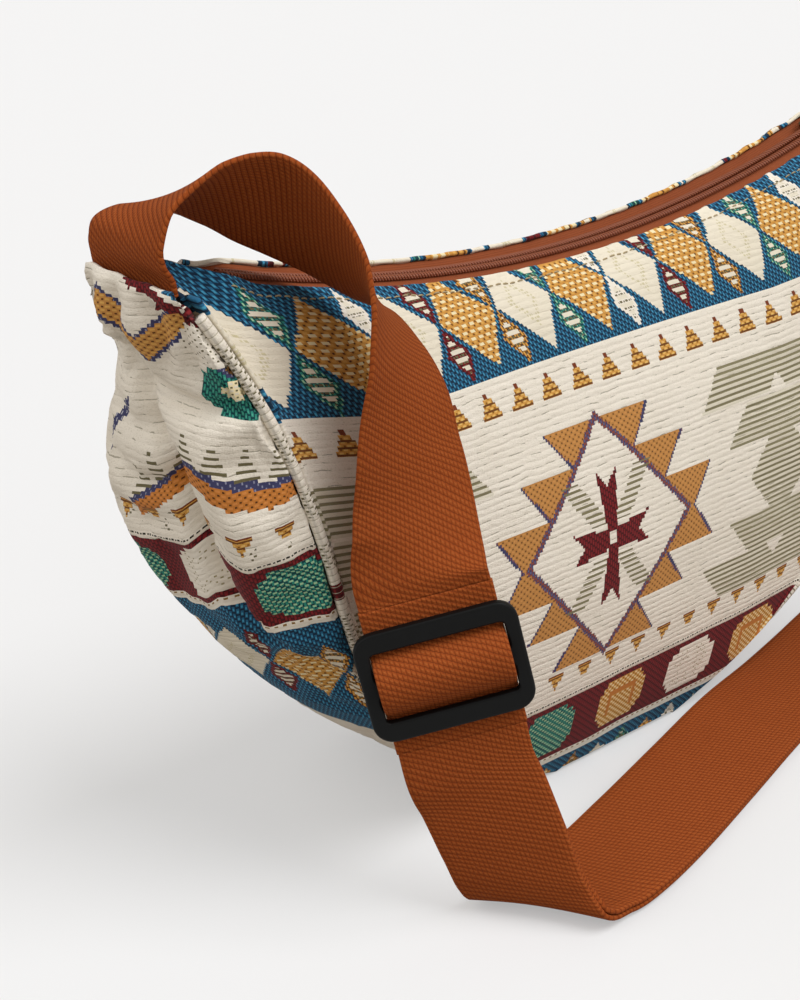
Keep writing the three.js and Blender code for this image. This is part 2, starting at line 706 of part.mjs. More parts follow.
function addRing() {
  const inner = strapWidth + 2 * ringSideClear;
  const outline = roundedRectangle(THREE.Shape, inner + 2 * ringBar, ringDrop + ringBar, ringBar);
  const hole = roundedRectangle(THREE.Path, inner, ringDrop - ringBar, 1);
  outline.holes.push(new THREE.Path(hole.getPoints(3)));
  const edge = 1;
  const ring = new THREE.ExtrudeGeometry(outline, {
    depth: ringBar - 2 * edge,
    bevelThickness: edge,
    bevelSize: edge,
    bevelOffset: -edge,
    bevelSegments: 1,
    curveSegments: 3,
  });
  ring.translate(0, -ringDrop / 2, edge - ringBar / 2);
  const across = new THREE.Vector3(0, 1, 0);
  const upwards = ringHang.clone().negate();
  ring.applyMatrix4(new THREE.Matrix4().makeBasis(across, upwards, across.clone().cross(upwards)));
  ring.translate(ringHinge.x, ringHinge.y, ringHinge.z);
  addPiece('strap_ring', ring, plasticLook);
}

// A short webbing tab, sewn into the right end, folds round the ring's upper bar and back onto itself.
function addRingTab() {
  const rootX = bagLength / 2 - strapRootInset;
  addPiece('ring_tab', flatRibbon([
    [rootX, endHeight - 3],
    [rootX + 0.4, endHeight + 3],
    [rootX + 4, ringHinge.z + ringTurn - 0.6],
    [ringHinge.x - 5, ringHinge.z + ringTurn + 0.4],
    [ringHinge.x, ringHinge.z + ringTurn],
    [ringHinge.x + ringTurn * 0.75, ringHinge.z + ringTurn * 0.75],
    [ringHinge.x + ringTurn, ringHinge.z],
    [ringHinge.x + ringTurn * 0.75, ringHinge.z - ringTurn * 0.75],
    [ringHinge.x, ringHinge.z - ringTurn],
    [ringHinge.x - 5, ringHinge.z - ringTurn + 0.4],
    [rootX + 4.6, ringHinge.z - ringTurn + 0.6],
  ], 26), webbingLook);
}

// The strap turns over the ring's lower bar: up on the outside, down on the inside.
function addRingTurn() {
  const innerEnd = runEnd.x - layerPitch;
  const start = runEnd.z + layerGap;
  addPiece('strap_ring_turn', flatRibbon([
    [runEnd.x, start],
    [ringLow.x + ringTurn + 0.6, start + 10],
    [ringLow.x + ringTurn + 0.2, ringLow.z - 2],
    [ringLow.x + ringTurn * 0.75, ringLow.z + ringTurn * 0.75],
    [ringLow.x, ringLow.z + ringTurn],
    [ringLow.x - ringTurn * 0.75, ringLow.z + ringTurn * 0.75],
    [ringLow.x - ringTurn - 0.2, ringLow.z - 2],
    [ringLow.x - ringTurn + 1.5, start + 10],
    [innerEnd - 0.3, start],
  ], 26), webbingLook);
}

addPanels();
addGusset();
addPiping();
addZipChain('front', -1);
addZipChain('back', 1);
addSlider();
addAdjuster();
addThreading();
addStitchedEnd();
addStrapArch();
addStrapRuns();
addRing();
addRingTab();
addRingTurn();

export default bag;
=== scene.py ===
# %% [markdown]
# # Belt bag in woven cloth
# The looks of a crescent belt bag: patterned jacquard cloth, a coil zip along the top edge and a
# brown webbing strap with a sliding adjuster. Lengths are written in millimetres and turned into
# metres where a mesh is made. The bag stands on the floor, its front faces -Y.
#
# The solids of the CAD model are loaded first. They could just be painted, but cloth needs finer
# grids than a CAD model has, so most pieces are made again here on the same curves, and each one
# then stands for its solid.

# %% Frame
import math

import bpy
import numpy as np
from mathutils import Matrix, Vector, noise


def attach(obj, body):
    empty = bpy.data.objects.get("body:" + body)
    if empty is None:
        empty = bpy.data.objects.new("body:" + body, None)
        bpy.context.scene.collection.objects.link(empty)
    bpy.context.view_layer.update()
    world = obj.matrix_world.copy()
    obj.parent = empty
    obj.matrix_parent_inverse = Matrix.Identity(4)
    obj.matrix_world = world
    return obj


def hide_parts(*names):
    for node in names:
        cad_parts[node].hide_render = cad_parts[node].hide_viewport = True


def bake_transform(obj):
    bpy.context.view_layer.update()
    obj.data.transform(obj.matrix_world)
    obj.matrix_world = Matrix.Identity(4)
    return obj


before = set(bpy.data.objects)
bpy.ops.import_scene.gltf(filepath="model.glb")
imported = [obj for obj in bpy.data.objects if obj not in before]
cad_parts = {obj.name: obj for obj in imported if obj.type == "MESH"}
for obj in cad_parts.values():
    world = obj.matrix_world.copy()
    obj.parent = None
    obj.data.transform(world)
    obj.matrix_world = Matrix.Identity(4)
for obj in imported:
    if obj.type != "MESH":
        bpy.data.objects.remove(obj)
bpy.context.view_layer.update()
MM = 0.001
print("solids loaded:", len(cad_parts))

# %% [markdown]
# ## Camera
# The photograph looks at the bag's left end from above and in front. A camera can be turned by
# eye until it fits, but here its two angles, its target and its distance were fitted to edges in
# the photograph, so they are kept as numbers. Everything is sharp, as in a product picture.

# %% Camera
AZIMUTH = math.radians(-42)
ELEVATION = math.radians(24)
TARGET = Vector((-0.108, -0.038, 0.129))
DISTANCE = 0.610
towards_camera = Vector((
    math.sin(AZIMUTH) * math.cos(ELEVATION),
    -math.cos(AZIMUTH) * math.cos(ELEVATION),
    math.sin(ELEVATION),
))
camera_data = bpy.data.cameras.new("camera")
camera_data.lens = 72
camera_data.sensor_width = 36
camera_data.clip_start = 0.01
camera = bpy.data.objects.new("camera", camera_data)
camera.location = TARGET + towards_camera * DISTANCE
camera.rotation_euler = towards_camera.to_track_quat("Z", "Y").to_euler()
bpy.context.collection.objects.link(camera)
bpy.context.scene.camera = camera
bpy.context.scene.view_settings.view_transform = "Standard"
print("camera at", [round(value, 3) for value in camera.location])


# %% [markdown]
# ## Material tools
# Cloth, webbing and plastic are all drawn by nodes, without pictures. Adding every Math node by
# hand would be long, so a field, a number that varies over a surface, adds a Math node for each
# step of arithmetic. A surface is then coloured coat by coat, each coat laid where its mask is 1,
# and ends in one Principled shader with a bump. Patterns are measured in millimetres of the flat
# piece.

# %% Material tools
def linear(code):
    """The linear colour of an sRGB hex code."""
    parts = [int(code[place:place + 2], 16) / 255 for place in (1, 3, 5)]
    light = [c / 12.92 if c <= 0.04045 else ((c + 0.055) / 1.055) ** 2.4 for c in parts]
    return (*light, 1.0)


def add_node(tree, kind, inputs=None, **settings):
    """Adds a node with its settings, and links or sets its inputs."""
    node = tree.nodes.new(kind)
    for name, value in settings.items():
        setattr(node, name, value)
    for name, value in (inputs or {}).items():
        if isinstance(value, bpy.types.NodeSocket):
            tree.links.new(value, node.inputs[name])
        else:
            node.inputs[name].default_value = value
    return node


print("the sRGB grey #808080 is", round(linear("#808080")[0], 3), "in linear light")


# %% Fields
class Field:
    """A number that varies over a surface."""

    def __init__(self, tree, socket):
        self.tree = tree
        self.socket = socket

    def math(self, operation, *others):
        values = [other.socket if isinstance(other, Field) else other for other in (self, *others)]
        node = add_node(self.tree, "ShaderNodeMath", dict(enumerate(values)), operation=operation)
        return Field(self.tree, node.outputs[0])

    def __add__(self, other):
        return self.math("ADD", other)

    def __sub__(self, other):
        return self.math("SUBTRACT", other)

    def __mul__(self, other):
        return self.math("MULTIPLY", other)

    def __truediv__(self, other):
        return self.math("DIVIDE", other)

    def __lt__(self, other):
        return self.math("LESS_THAN", other)

    def __gt__(self, other):
        return self.math("GREATER_THAN", other)

    def __and__(self, other):
        return self.math("MULTIPLY", other)

    def __or__(self, other):
        return self.math("MAXIMUM", other)

    def __abs__(self):
        return self.math("ABSOLUTE")

    def floor(self):
        return self.math("FLOOR")

    def part(self):
        return self.math("FRACT")

    def between(self, low, high):
        return (self > low) & (self < high)

    def steps(self, size):
        """The middle of the thread cell that the place is in."""
        return ((self / size).floor() + 0.5) * size


print("a field knows", sum(map(callable, vars(Field).values())), "operations")


# %% Surfaces
class Surface:
    """A procedural material whose colour is laid coat by coat."""

    def __init__(self, name, base, roughness, **sockets):
        self.material = bpy.data.materials.new(name)
        self.material.use_nodes = True
        self.tree = self.material.node_tree
        self.tree.nodes.clear()
        self.colour = linear(base)
        self.height = None
        self.sockets = {"Roughness": roughness, **sockets}

    def place(self):
        """The two coordinates of the piece's own map, in millimetres."""
        uv = add_node(self.tree, "ShaderNodeUVMap", uv_map="flat_mm")
        split = add_node(self.tree, "ShaderNodeSeparateXYZ", {"Vector": uv.outputs["UV"]})
        return Field(self.tree, split.outputs["X"]), Field(self.tree, split.outputs["Y"])

    def noise(self, size, detail=2.0, stretch=(1, 1, 1), rough=0.5):
        """Noise with features of a size in millimetres, fixed to the piece's own map."""
        uv = add_node(self.tree, "ShaderNodeUVMap", uv_map="flat_mm")
        scaled = add_node(self.tree, "ShaderNodeMapping", {
            "Vector": uv.outputs["UV"],
            "Scale": stretch,
        })
        cells = add_node(self.tree, "ShaderNodeTexNoise", {
            "Vector": scaled.outputs["Vector"],
            "Scale": 1 / size,
            "Detail": detail,
            "Roughness": rough,
        })
        return Field(self.tree, cells.outputs["Fac"])

    def solid_noise(self, size, detail=2.0):
        """Noise with features of a size in millimetres, fixed to the object."""
        place = add_node(self.tree, "ShaderNodeTexCoord")
        cells = add_node(self.tree, "ShaderNodeTexNoise", {
            "Vector": place.outputs["Object"],
            "Scale": 1 / (size * MM),
            "Detail": detail,
        })
        return Field(self.tree, cells.outputs["Fac"])

    def lay(self, mask, code, blend="MIX"):
        coat = add_node(self.tree, "ShaderNodeMix", {
            0: mask.socket,
            6: self.colour,
            7: linear(code),
        }, data_type="RGBA", blend_type=blend)
        self.colour = coat.outputs[2]

    def raise_by(self, field):
        self.height = field if self.height is None else self.height + field

    def finish(self, relief):
        """Ends the material; relief is the bump's depth in millimetres for a height of 1."""
        inputs = {"Base Color": self.colour, **self.sockets}
        if self.height is not None:
            bump = add_node(self.tree, "ShaderNodeBump", {
                "Height": self.height.socket,
                "Distance": relief * MM,
                "Strength": 1.0,
            })
            inputs["Normal"] = bump.outputs["Normal"]
        shader = add_node(self.tree, "ShaderNodeBsdfPrincipled", inputs)
        add_node(self.tree, "ShaderNodeOutputMaterial", {"Surface": shader.outputs["BSDF"]})
        return self.material


print("surface tools:", ", ".join(tool for tool in vars(Surface) if tool[0] != "_"))

# %% [markdown]
# ## Jacquard cloth
# The bag is sewn from one heavy jacquard: a cream ground with soft ribs, and figures woven in
# coloured threads. A picture of the cloth would be quick, but it has one size and one light in
# it. Here the weave is drawn from rules. Every figure is read at thread cells, so its edges step
# as a weave's do. The threads are drawn about twice as coarse as real ones, so that they show
# from here.

# %% Cloth colours
# The _DARK colours of blue, red, teal and gold and the _LIGHT colours of blue, red and teal are
# laid by woven() as painted shade in the gaps between threads and a painted highlight on their
# crowns; GOLD_DARK also colours real specks and TEAL_LIGHT real stitches.
CREAM = "#EEE6D8"
CREAM_LIGHT = "#E6DDC9"
OLIVE = "#6B6447"
OLIVE_DARK = "#2E2A1C"
GOLD = "#D39A48"
GOLD_DARK = "#5B3413"
GOLD_LIGHT = "#EFE0B4"
RUST = "#C47A35"
RED = "#781B1F"
RED_DARK = "#471014"
TEAL = "#2F8A7A"
TEAL_DARK = "#123F44"
TEAL_LIGHT = "#A9CFA5"
BLUE = "#266489"
BLUE_DARK = "#122C42"
BLUE_LIGHT = "#4799BC"
NAVY = "#3F4064"
RED_LIGHT = "#832529"
print("cream in linear light:", [round(value, 3) for value in linear(CREAM)])


# %% Jacquard weave
class Jacquard(Surface):
    """Matt cotton-like cloth: hardly any shine, a faint sheen, and ribs that break up the light."""

    def __init__(self, name):
        super().__init__(name, CREAM, 0.9, **{
            "Sheen Weight": 0.05,
            "Sheen Roughness": 0.6,
            "Specular IOR Level": 0.15,
        })
        self.u, self.v = self.place()
        wobble = (self.noise(7.0) - 0.5) * 1.5
        self.ribs = ((self.v + wobble) / 2.2).part()
        self.rows = (self.v / 1.1).floor()
        column = (self.u / 1.05).floor()
        in_column = (self.u / 1.05).part()
        along = (self.v / 2.4 + column * 0.37).part()
        # the gaps between the upright threads and the middle of each thread's crown, where woven()
        # lays painted shade and a painted highlight
        self.gap = ((along > 0.72) | (in_column < 0.16)) | (in_column > 0.88)
        self.crown_highlight = along.between(0.12, 0.42) & in_column.between(0.3, 0.7)
        weft = (self.u / 2.7 + self.rows * 0.5).part()
        self.stitch = (weft < 0.42) & ((self.v / 1.1).part() < 0.62)
        self.speck = weft.between(0.62, 0.86) & ((self.v / 1.1).part() < 0.5)
        row = self.v / 2.1
        dash = (self.u / 3.5 + row.floor() * 0.5).part()
        self.dash = (dash < 0.56) & (row.part() < 0.4)
        self.qu = self.u.steps(0.8)
        self.qv = self.v.steps(1.1)
        self.flat = None
        fibre = self.noise(0.55, 3.0, (1, 1.7, 1))
        line = (self.ribs < 0.14) & (self.noise(3.4, 3.0, (0.5, 1.8, 1)) > 0.57)
        self.lay(line, "#B4AD9C", "MIX")
        self.lay(fibre.between(0.6, 2.0), "#DED6C5", "MIX")
        self.fibre = fibre

    def woven(self, mask, main, dark=None, light=None):
        """A shape of short upright threads: painted shade in the gaps, a painted highlight on the
        crowns, partly in other yarns' colours.
        """
        self.lay(mask, main)
        # painted shade in the gaps between threads, and a painted highlight on their crowns
        if dark:
            self.lay(mask & self.gap, dark)
        if light:
            self.lay(mask & self.crown_highlight, light)
        self.flat = mask if self.flat is None else self.flat | mask

    def brocade(self, mask, main, dark, light):
        """A shape of stitches lying along the rows over a coloured ground."""
        self.lay(mask, main)
        self.lay(mask & self.speck, dark)
        self.lay(mask & self.stitch, light)
        self.flat = mask if self.flat is None else self.flat | mask

    def puffed(self, mask, code=CREAM_LIGHT):
        """A raised shape in the ground's own soft yarn."""
        self.lay(mask, code)
        if self.flat is not None:
            self.flat = self.flat & (mask * -1.0 + 1.0)

    def end(self):
        """Shading and relief: soft ribs in the ground, short threads in the coloured shapes."""
        shade = self.noise(16.0, 3.0)
        self.lay((shade - 0.35) * 0.35, "#D8D2C4", "MULTIPLY")
        crown = abs(self.ribs - 0.5) * 2
        patchy = self.noise(9.0, 2.0, (0.5, 1, 1)) * 0.9 - 0.05
        tuft = self.noise(1.5, 3.0, (0.55, 1.3, 1))
        soft = (crown * crown * -1.0 + 1.0) * patchy + tuft * 0.7 + self.fibre * 0.75
        threads = (self.gap * -1.0 + 1.0) * 0.3 + self.stitch * 0.25 + self.fibre * 0.2
        flat = self.flat
        self.raise_by(soft * (flat * -1.0 + 1.0) + threads * flat)
        return self.finish(0.42)


print("colours of yarn:", len({CREAM, OLIVE, GOLD, RUST, RED, TEAL, BLUE, NAVY}))

# %% [markdown]
# ### Bands of figures
# The cloth's figures run along the bag in bands: diamonds on blue, rosettes on red, and rows of
# small triangles. They could be modelled as patches, but they lie in the cloth itself, so each
# band is a function that lays coats. Distances from the middle of a figure, added or compared,
# give diamonds and squares, and the fractional part of a length repeats them.


# %% Blue band
def diamond_band(cloth, low, high, first, middle):
    """The blue band: large white and gold diamonds with small ones between them."""
    band = cloth.qv.between(low, high)
    cloth.woven(band, BLUE, BLUE_DARK, BLUE_LIGHT)
    rise = abs(cloth.qv - middle)
    pitch = 26.3
    large = (cloth.qu - first) / pitch + 0.5
    across = abs(large.part() - 0.5) * pitch
    reach = across / 12.8 + rise / 16.4
    inside = (reach < 0.97) & band
    gold = (large.floor() * 0.5).part() > 0.25
    cloth.woven(inside & (reach > 0.86), GOLD, GOLD_DARK)
    cloth.brocade(inside & gold, "#C98F41", GOLD_DARK, "#DBA655")
    cloth.lay((inside & gold) & cloth.dash, GOLD_LIGHT)
    white = inside & (gold * -1.0 + 1.0)
    cloth.puffed(white)
    cloth.lay((white & reach.between(0.34, 0.5)) & (cloth.speck | cloth.stitch), "#CFC5A2")
    small = (cloth.qu - (first + pitch / 2)) / pitch + 0.5
    aside = abs(small.part() - 0.5) * pitch
    little = aside / 4.9 + abs(rise - 9.3) / 8.8
    kind = (small.floor() / 4).part()
    inside = (little < 1.0) & band
    core = inside & (little < 0.7)
    bars = (cloth.v / 2.6).part() < 0.52
    cloth.woven(inside, CREAM, None)
    cloth.woven(inside & (kind < 0.2), TEAL, TEAL_DARK, TEAL_LIGHT)
    cloth.woven(inside & kind.between(0.45, 0.6), RED, RED_DARK)
    cloth.woven(inside & (kind > 0.7), GOLD, GOLD_DARK)
    cloth.lay(core & bars, CREAM_LIGHT)
    cloth.lay(core & ((bars * -1.0 + 1.0) & (cloth.stitch | cloth.speck)), OLIVE)


print("band:", diamond_band.__name__)


# %% Rosettes and triangles
def rosettes(cloth, middle, first, pitch, half_width, half_height, cycle):
    """Stepped rosettes in a row: teal, gold, cream and gold, or teal and cream in a cycle of 2."""
    cells = (cloth.u.steps(1.6) - first) / pitch + 0.5
    across = abs(cells.part() - 0.5) * pitch
    rise = abs(cloth.v.steps(2.2) - middle)
    square = (across / half_width) | (rise / half_height)
    inside = (square < 1.0) & ((across / half_width + rise / half_height) < 1.5)
    kind = (cells.floor() / cycle).part()
    teal = inside & (kind < 0.2)
    cream = inside & kind.between(0.4, 0.6)
    gold = (inside & kind.between(0.2, 0.4)) | (inside & (kind > 0.6))
    cloth.woven(teal, TEAL, TEAL_DARK, None)
    cloth.lay(teal & cloth.stitch, TEAL_LIGHT)
    cloth.brocade(gold, GOLD, "#8A5A22", GOLD_LIGHT)
    cloth.lay(gold & square.between(0.42, 0.58), RUST)
    cloth.puffed(cream, CREAM)
    dots = cloth.speck & (cloth.noise(4.0) > 0.48)
    cloth.lay((cream & square.between(0.3, 0.75)) & dots, "#A0956F")


def lower_bands(
    cloth, first_rosette, pitch, cycle,
    first_triangle, triangle_pitch, first_diamond, diamond_middle,
):
    """From the hanging triangles down: lines, the red band, and the blue band below it."""
    triangles(cloth, first_triangle, triangle_pitch, 48.5, 6.5, 8.6, False)
    cloth.lay(cloth.qv.between(36.6, 37.8) & (cloth.stitch | cloth.speck), OLIVE_DARK)
    red = cloth.qv.between(10.6, 35.2)
    cloth.woven(red, RED, RED_DARK, RED_LIGHT)
    rosettes(cloth, 23.0, first_rosette, pitch, 12.7, 10.4, cycle)
    line = cloth.qv.between(8.2, 11.0)
    cloth.puffed(line, CREAM)
    cloth.lay(cloth.qv.between(9.4, 10.6) & cloth.stitch, "#8C6A33")
    diamond_band(cloth, -62.0, 8.2, first_diamond, diamond_middle)
    cloth.puffed(cloth.qv < -62.0, CREAM)


def triangles(cloth, first, pitch, base, height, width, upright):
    """A row of small stepped triangles on a dark base line."""
    across = abs((((cloth.qu - first) / pitch + 0.5).part() - 0.5) * pitch)
    step = cloth.v.steps(1.6)
    share = (step - base if upright else step * -1.0 + base) / height
    inside = share.between(0.0, 1.0) & (across < ((share * -1.0 + 1.0) * (width / 2)))
    cloth.brocade(inside, GOLD, "#8A5A22", "#E8BE6E")
    cloth.lay(inside & (((cloth.v - base) / 2.1).part() < 0.3), "#70421B")
    line = (share > 0.8) if upright else (cloth.v > base - 1.1)
    cloth.lay(inside & line, "#7C3B20")


bands = (rosettes, triangles, lower_bands)
print("bands:", ", ".join(band.__name__ for band in bands))

# %% [markdown]
# ### Cloth of the panels
# The panels show the cloth's main field: toothed medallions with a cross, and striped stepped
# figures between them. Both repeat every 185 mm and are alike above and below their middle line,
# so only the distances from that middle are needed.


# %% Cloth of the panels
FIGURE_PITCH = 185
FIGURE_MIDDLE = 91.0


def panel_cloth():
    cloth = Jacquard("jacquard_cloth_panel")
    u, v = cloth.qu, cloth.qv
    triangles(cloth, -19.9, 14.05, 142.5, 8.6, 9.6, True)

    # striped stepped figures between the medallions, alike above and below
    cells = (u + 18.6) / FIGURE_PITCH + 0.5
    a = abs(cells.part() - 0.5) * FIGURE_PITCH
    b = abs(v - FIGURE_MIDDLE)
    stripes = (cloth.v / 2.05).part() < 0.44
    for low, near, far in ((0.0, 74.0, 200.0), (14.0, 63.0, 200.0), (28.5, 50.0, 87.0)):
        tier = (b - low) / 14.2
        inner = a - tier * 12.5
        figure = tier.between(0.0, 1.0) & inner.between(near, far)
        cloth.lay(figure * 0.4, "#BDB698")
        cloth.lay(figure & stripes, "#857E60")

    # medallions: a ring of triangles round a white diamond, and a cross inside it
    tier = (b * -1.0 + 41.5) / 13.83
    side = a / 39.0 + b / 41.5
    edge = tier.floor() * 13.8 + 24.5 - tier.part() * 10.5
    teeth = ((side > 1.0) & (a < edge)) & tier.between(0.0, 3.0)
    rim = ((side > 1.0) & (a < (edge + 1.1))) & tier.between(0.0, 3.0)
    cloth.woven(rim, NAVY, None, "#8A5560")
    cloth.brocade(teeth, "#BF8647", "#6A4423", "#CC9150")
    outline = side.between(0.97, 1.045) & (b < 44.0)
    cloth.woven(outline, NAVY, "#8A4A3C", "#5D6C93")
    diagonal = (abs(a - b * 0.8) < 4.2) & b.between(6.0, 22.0)
    cloth.lay(diagonal & stripes, "#7E7759")
    upright = (a < (b * 0.13 + 1.8)) & (b.between(2.0, 24.0) & (b < (a * 1.25 + 18.0)))
    level = (b < (a * 0.12 + 3.2)) & (a.between(1.5, 18.5) & (a < (b + 13.0)))
    cloth.woven(upright | level, RED, RED_DARK, RED_LIGHT)

    lower_bands(cloth, -41.0, 37.0, 4, -41.8, 13.8, -9.0, -11.5)
    diamond_band(cloth, 154.0, 198.5, -23.5, 172.5)
    cloth.puffed(v.between(198.5, 200.5), CREAM)
    cloth.woven(v > 200.5, BLUE, BLUE_DARK, BLUE_LIGHT)
    return cloth.end()


CLOTH_PANEL = panel_cloth()
print(CLOTH_PANEL.name, "has", len(CLOTH_PANEL.node_tree.nodes), "nodes")

# %% [markdown]
# ### Cloth of the gusset
# The gusset is cut from the same cloth, but its strip turns round the bag, so other figures fall
# on it: a zigzag, a rosette near the seam and chevrons at the top. It has a map of its own and
# therefore a material of its own, with the same lower bands.


# %% Cloth of the gusset
def stepped_square(cloth, middle_u, middle_v, half_width, half_height, corner):
    """A square with stepped corners, and the distances across and up from its middle."""
    across = abs(cloth.qu.steps(1.6) - middle_u)
    rise = abs(cloth.v.steps(2.2) - middle_v)
    wide, high = across / half_width, rise / half_height
    return ((wide | high) < 1.0) & ((wide + high) < corner), across, rise


def gusset_cloth():
    cloth = Jacquard("jacquard_cloth_gusset")
    u, v = cloth.qu, cloth.qv

    # striped triangles standing on a rust zigzag with a dark upper edge
    falling = abs(u - 41.0) * 0.19 + 61.5
    crest = falling.math("MINIMUM", u * 0.5 + 57.5)
    run = u > -15.0
    cloth.lay(v.between(40.0, 47.0) & (cloth.stitch & (cloth.noise(6.0) > 0.62)), OLIVE)
    near = abs((((u - 17.5) / 9.2 + 0.5).part() - 0.5) * 9.2)
    above = v - crest
    small = (above.between(0.5, 11.0) & (near < ((above * -0.36) + 4.4))) & run
    cloth.lay(small & ((cloth.v / 2.2).part() < 0.4), "#6F684B")
    cloth.woven(above.between(-1.2, 1.2) & run, NAVY, None, "#8D8FA6")
    cloth.brocade(above.between(-7.2, -1.2) & run, RUST, GOLD_DARK, "#D68A45")
    arc = v - (u * 0.8 + 86.0)
    cloth.woven(arc.between(-1.6, 1.6) & u.between(-27.0, -9.0), NAVY, None, "#B9BAC6")

    # a teal rosette near the front seam and chevrons under the strap's root
    inside, across, rise = stepped_square(cloth, 35.0, 93.0, 11.5, 9.0, 1.45)
    cloth.woven(inside, TEAL, TEAL_DARK, "#4BA38C")
    cloth.brocade(inside & ((across / 6.0 + rise / 4.0) < 1.0), GOLD_LIGHT, OLIVE, CREAM_LIGHT)
    fold = abs(((u - 6.0) / 30 + 0.5).part() - 0.5) * 30
    chevron = v - (fold * 0.85 + 98.0)
    top = v > 98.0
    cloth.brocade(chevron.between(0.0, 9.0) & top, "#C98F4C", GOLD_DARK, "#E0AE5C")
    edges = chevron.between(-1.3, 0.4) | chevron.between(8.6, 10.0)
    cloth.woven(edges & top, NAVY, None, "#8D8FA6")
    cloth.woven(chevron.between(24.0, 29.0) & top, RED, RED_DARK, RED_LIGHT)

    # a red line between cream and blue at the front corner, and a pale rosette under it
    pale, _, _ = stepped_square(cloth, 31.0, 109.0, 11.0, 7.5, 1.4)
    cloth.puffed(pale, CREAM)
    cloth.lay(pale & (cloth.speck & (cloth.noise(4.0) > 0.46)), OLIVE)
    corner = v + u * 0.42
    front = u > 8.0
    cloth.woven((corner > 133.0) & front, BLUE, BLUE_DARK, BLUE_LIGHT)
    cloth.puffed(corner.between(131.0, 133.0) & front, CREAM)
    cloth.woven(corner.between(126.5, 131.0) & front, RED, RED_DARK, RED_LIGHT)

    lower_bands(cloth, 43.0, 34.0, 2, 5.0, 13.0, -49.1, -19.0)
    return cloth.end()


CLOTH_GUSSET = gusset_cloth()
print(CLOTH_GUSSET.name, "has", len(CLOTH_GUSSET.node_tree.nodes), "nodes")

# %% [markdown]
# ### Cloth of the piping
# The piping is a narrow strip rolled round a cord, so only scraps of the figures are left on it.
# A noise that is stretched across the strip gives such scraps.


# %% Cloth of the piping
def piping_cloth():
    cloth = Jacquard("jacquard_cloth_piping")
    length = cloth.v
    patch = cloth.noise(18.0, 0.0, (0.01, 1, 1))
    cloth.lay((patch.between(0.5, 0.66)) & cloth.stitch, OLIVE)
    cloth.brocade(patch > 0.7, "#C98F4C", GOLD_DARK, "#D99A55")
    cloth.woven(patch.between(0.685, 0.7), NAVY, None, "#8A5560")
    cloth.woven(patch < 0.3, RED, RED_DARK)
    cloth.lay(((length / 2.2).part() < 0.14), "#C2BAA6")
    return cloth.end()


CLOTH_PIPING = piping_cloth()
print(CLOTH_PIPING.name, "has", len(CLOTH_PIPING.node_tree.nodes), "nodes")

# %% [markdown]
# ## Webbing, zip, plastic and metal
# The strap is a close weave of short slanted threads a little over a millimetre apart, and the
# zip tape is a finer one. Plastic, nylon and metal have no weave. Their grain is a noise that is
# fixed to the object, which gives an even surface the small unevenness of a real one.

# %% Webbing, tape and thread
def webbing():
    """Polyester webbing: matt, with slanted threads that catch the light one by one, helped by
    painted shade in the grooves and a painted highlight on each crown.
    """
    cover = Surface("brown_webbing", "#8F431A", 0.9, **{"Specular IOR Level": 0.12})
    across, along = cover.place()
    rib = across / 1.35
    column = rib.floor()
    inside = rib.part()
    slant = (along / 1.9 + inside * 0.5 + column * 0.37).part()
    crown = abs(inside - 0.5) * 2
    dark = (slant < 0.2) | (crown > 0.9)
    cover.lay(cover.noise(0.5, 3.0, (1, 0.35, 1)).between(0.5, 2.0), "#984B1F")
    # painted shade: the grooves between the slanted threads and between the columns are laid darker
    cover.lay(dark, "#743413")
    # painted highlight on the crown of each thread
    cover.lay(slant.between(0.48, 0.74) & (crown < 0.45), "#9F5527")
    cover.lay((cover.noise(13.0, 3.0) - 0.4) * 0.5, "#803A16")
    hump = (crown * crown * -1.0 + 1.0) * 0.6
    thread = (abs(slant - 0.6) * -2.2 + 1.0) * 0.7
    cover.raise_by(hump + thread + cover.noise(0.4, 2.0) * 0.4)
    return cover.finish(0.22)


def zip_tape():
    """Woven tape: finer and smoother than the webbing, so it looks flat beside it."""
    cover = Surface("woven_zip_tape", "#8F4A29", 0.85, **{"Specular IOR Level": 0.2})
    across, along = cover.place()
    ribs = (across / 0.55).part()
    weave = (along / 0.7 + (across / 0.55).floor() * 0.5).part()
    # painted shade: the grooves between the ribs and between the rows of the weave are laid darker
    cover.lay((ribs < 0.18) | (weave < 0.16), "#783C20")
    cover.lay((cover.noise(5.0) - 0.4) * 0.5, "#98532F")
    cover.raise_by(abs(ribs - 0.5) * -1.0 + abs(weave - 0.5) * -0.6)
    return cover.finish(0.12)


def sewing_thread():
    """Sewing thread: a little shine along its twist, darker than the cream cloth."""
    cover = Surface("sewing_thread", "#9C8A68", 0.7)
    twist = cover.solid_noise(0.35, 1.0)
    cover.lay(twist.between(0.5, 2.0), "#B3A17C")
    cover.raise_by(twist)
    return cover.finish(0.05)


WEBBING = webbing()
TAPE = zip_tape()
THREAD = sewing_thread()
print("materials:", ", ".join(cover.name for cover in (WEBBING, TAPE, THREAD)))


# %% Nylon, plastic and metal
def coil_nylon():
    """Nylon wire: half glossy, so each turn of the coil has a soft highlight."""
    cover = Surface("brown_nylon_wire", "#87462A", 0.45)
    grain = cover.solid_noise(0.8, 2.0)
    cover.lay((grain - 0.3) * 0.8, "#A05F3A")
    cover.raise_by(grain)
    return cover.finish(0.03)


def moulded_plastic():
    """Black moulded plastic: dark, with a fine grain that blurs its highlights."""
    cover = Surface("black_moulded_plastic", "#070808", 0.52, **{"Specular IOR Level": 0.15})
    grain = cover.solid_noise(0.22, 3.0)
    scuff = cover.solid_noise(5.0, 4.0)
    cover.lay((scuff - 0.5) * 0.8, "#161718")
    cover.raise_by(grain + scuff * 0.4)
    return cover.finish(0.022)


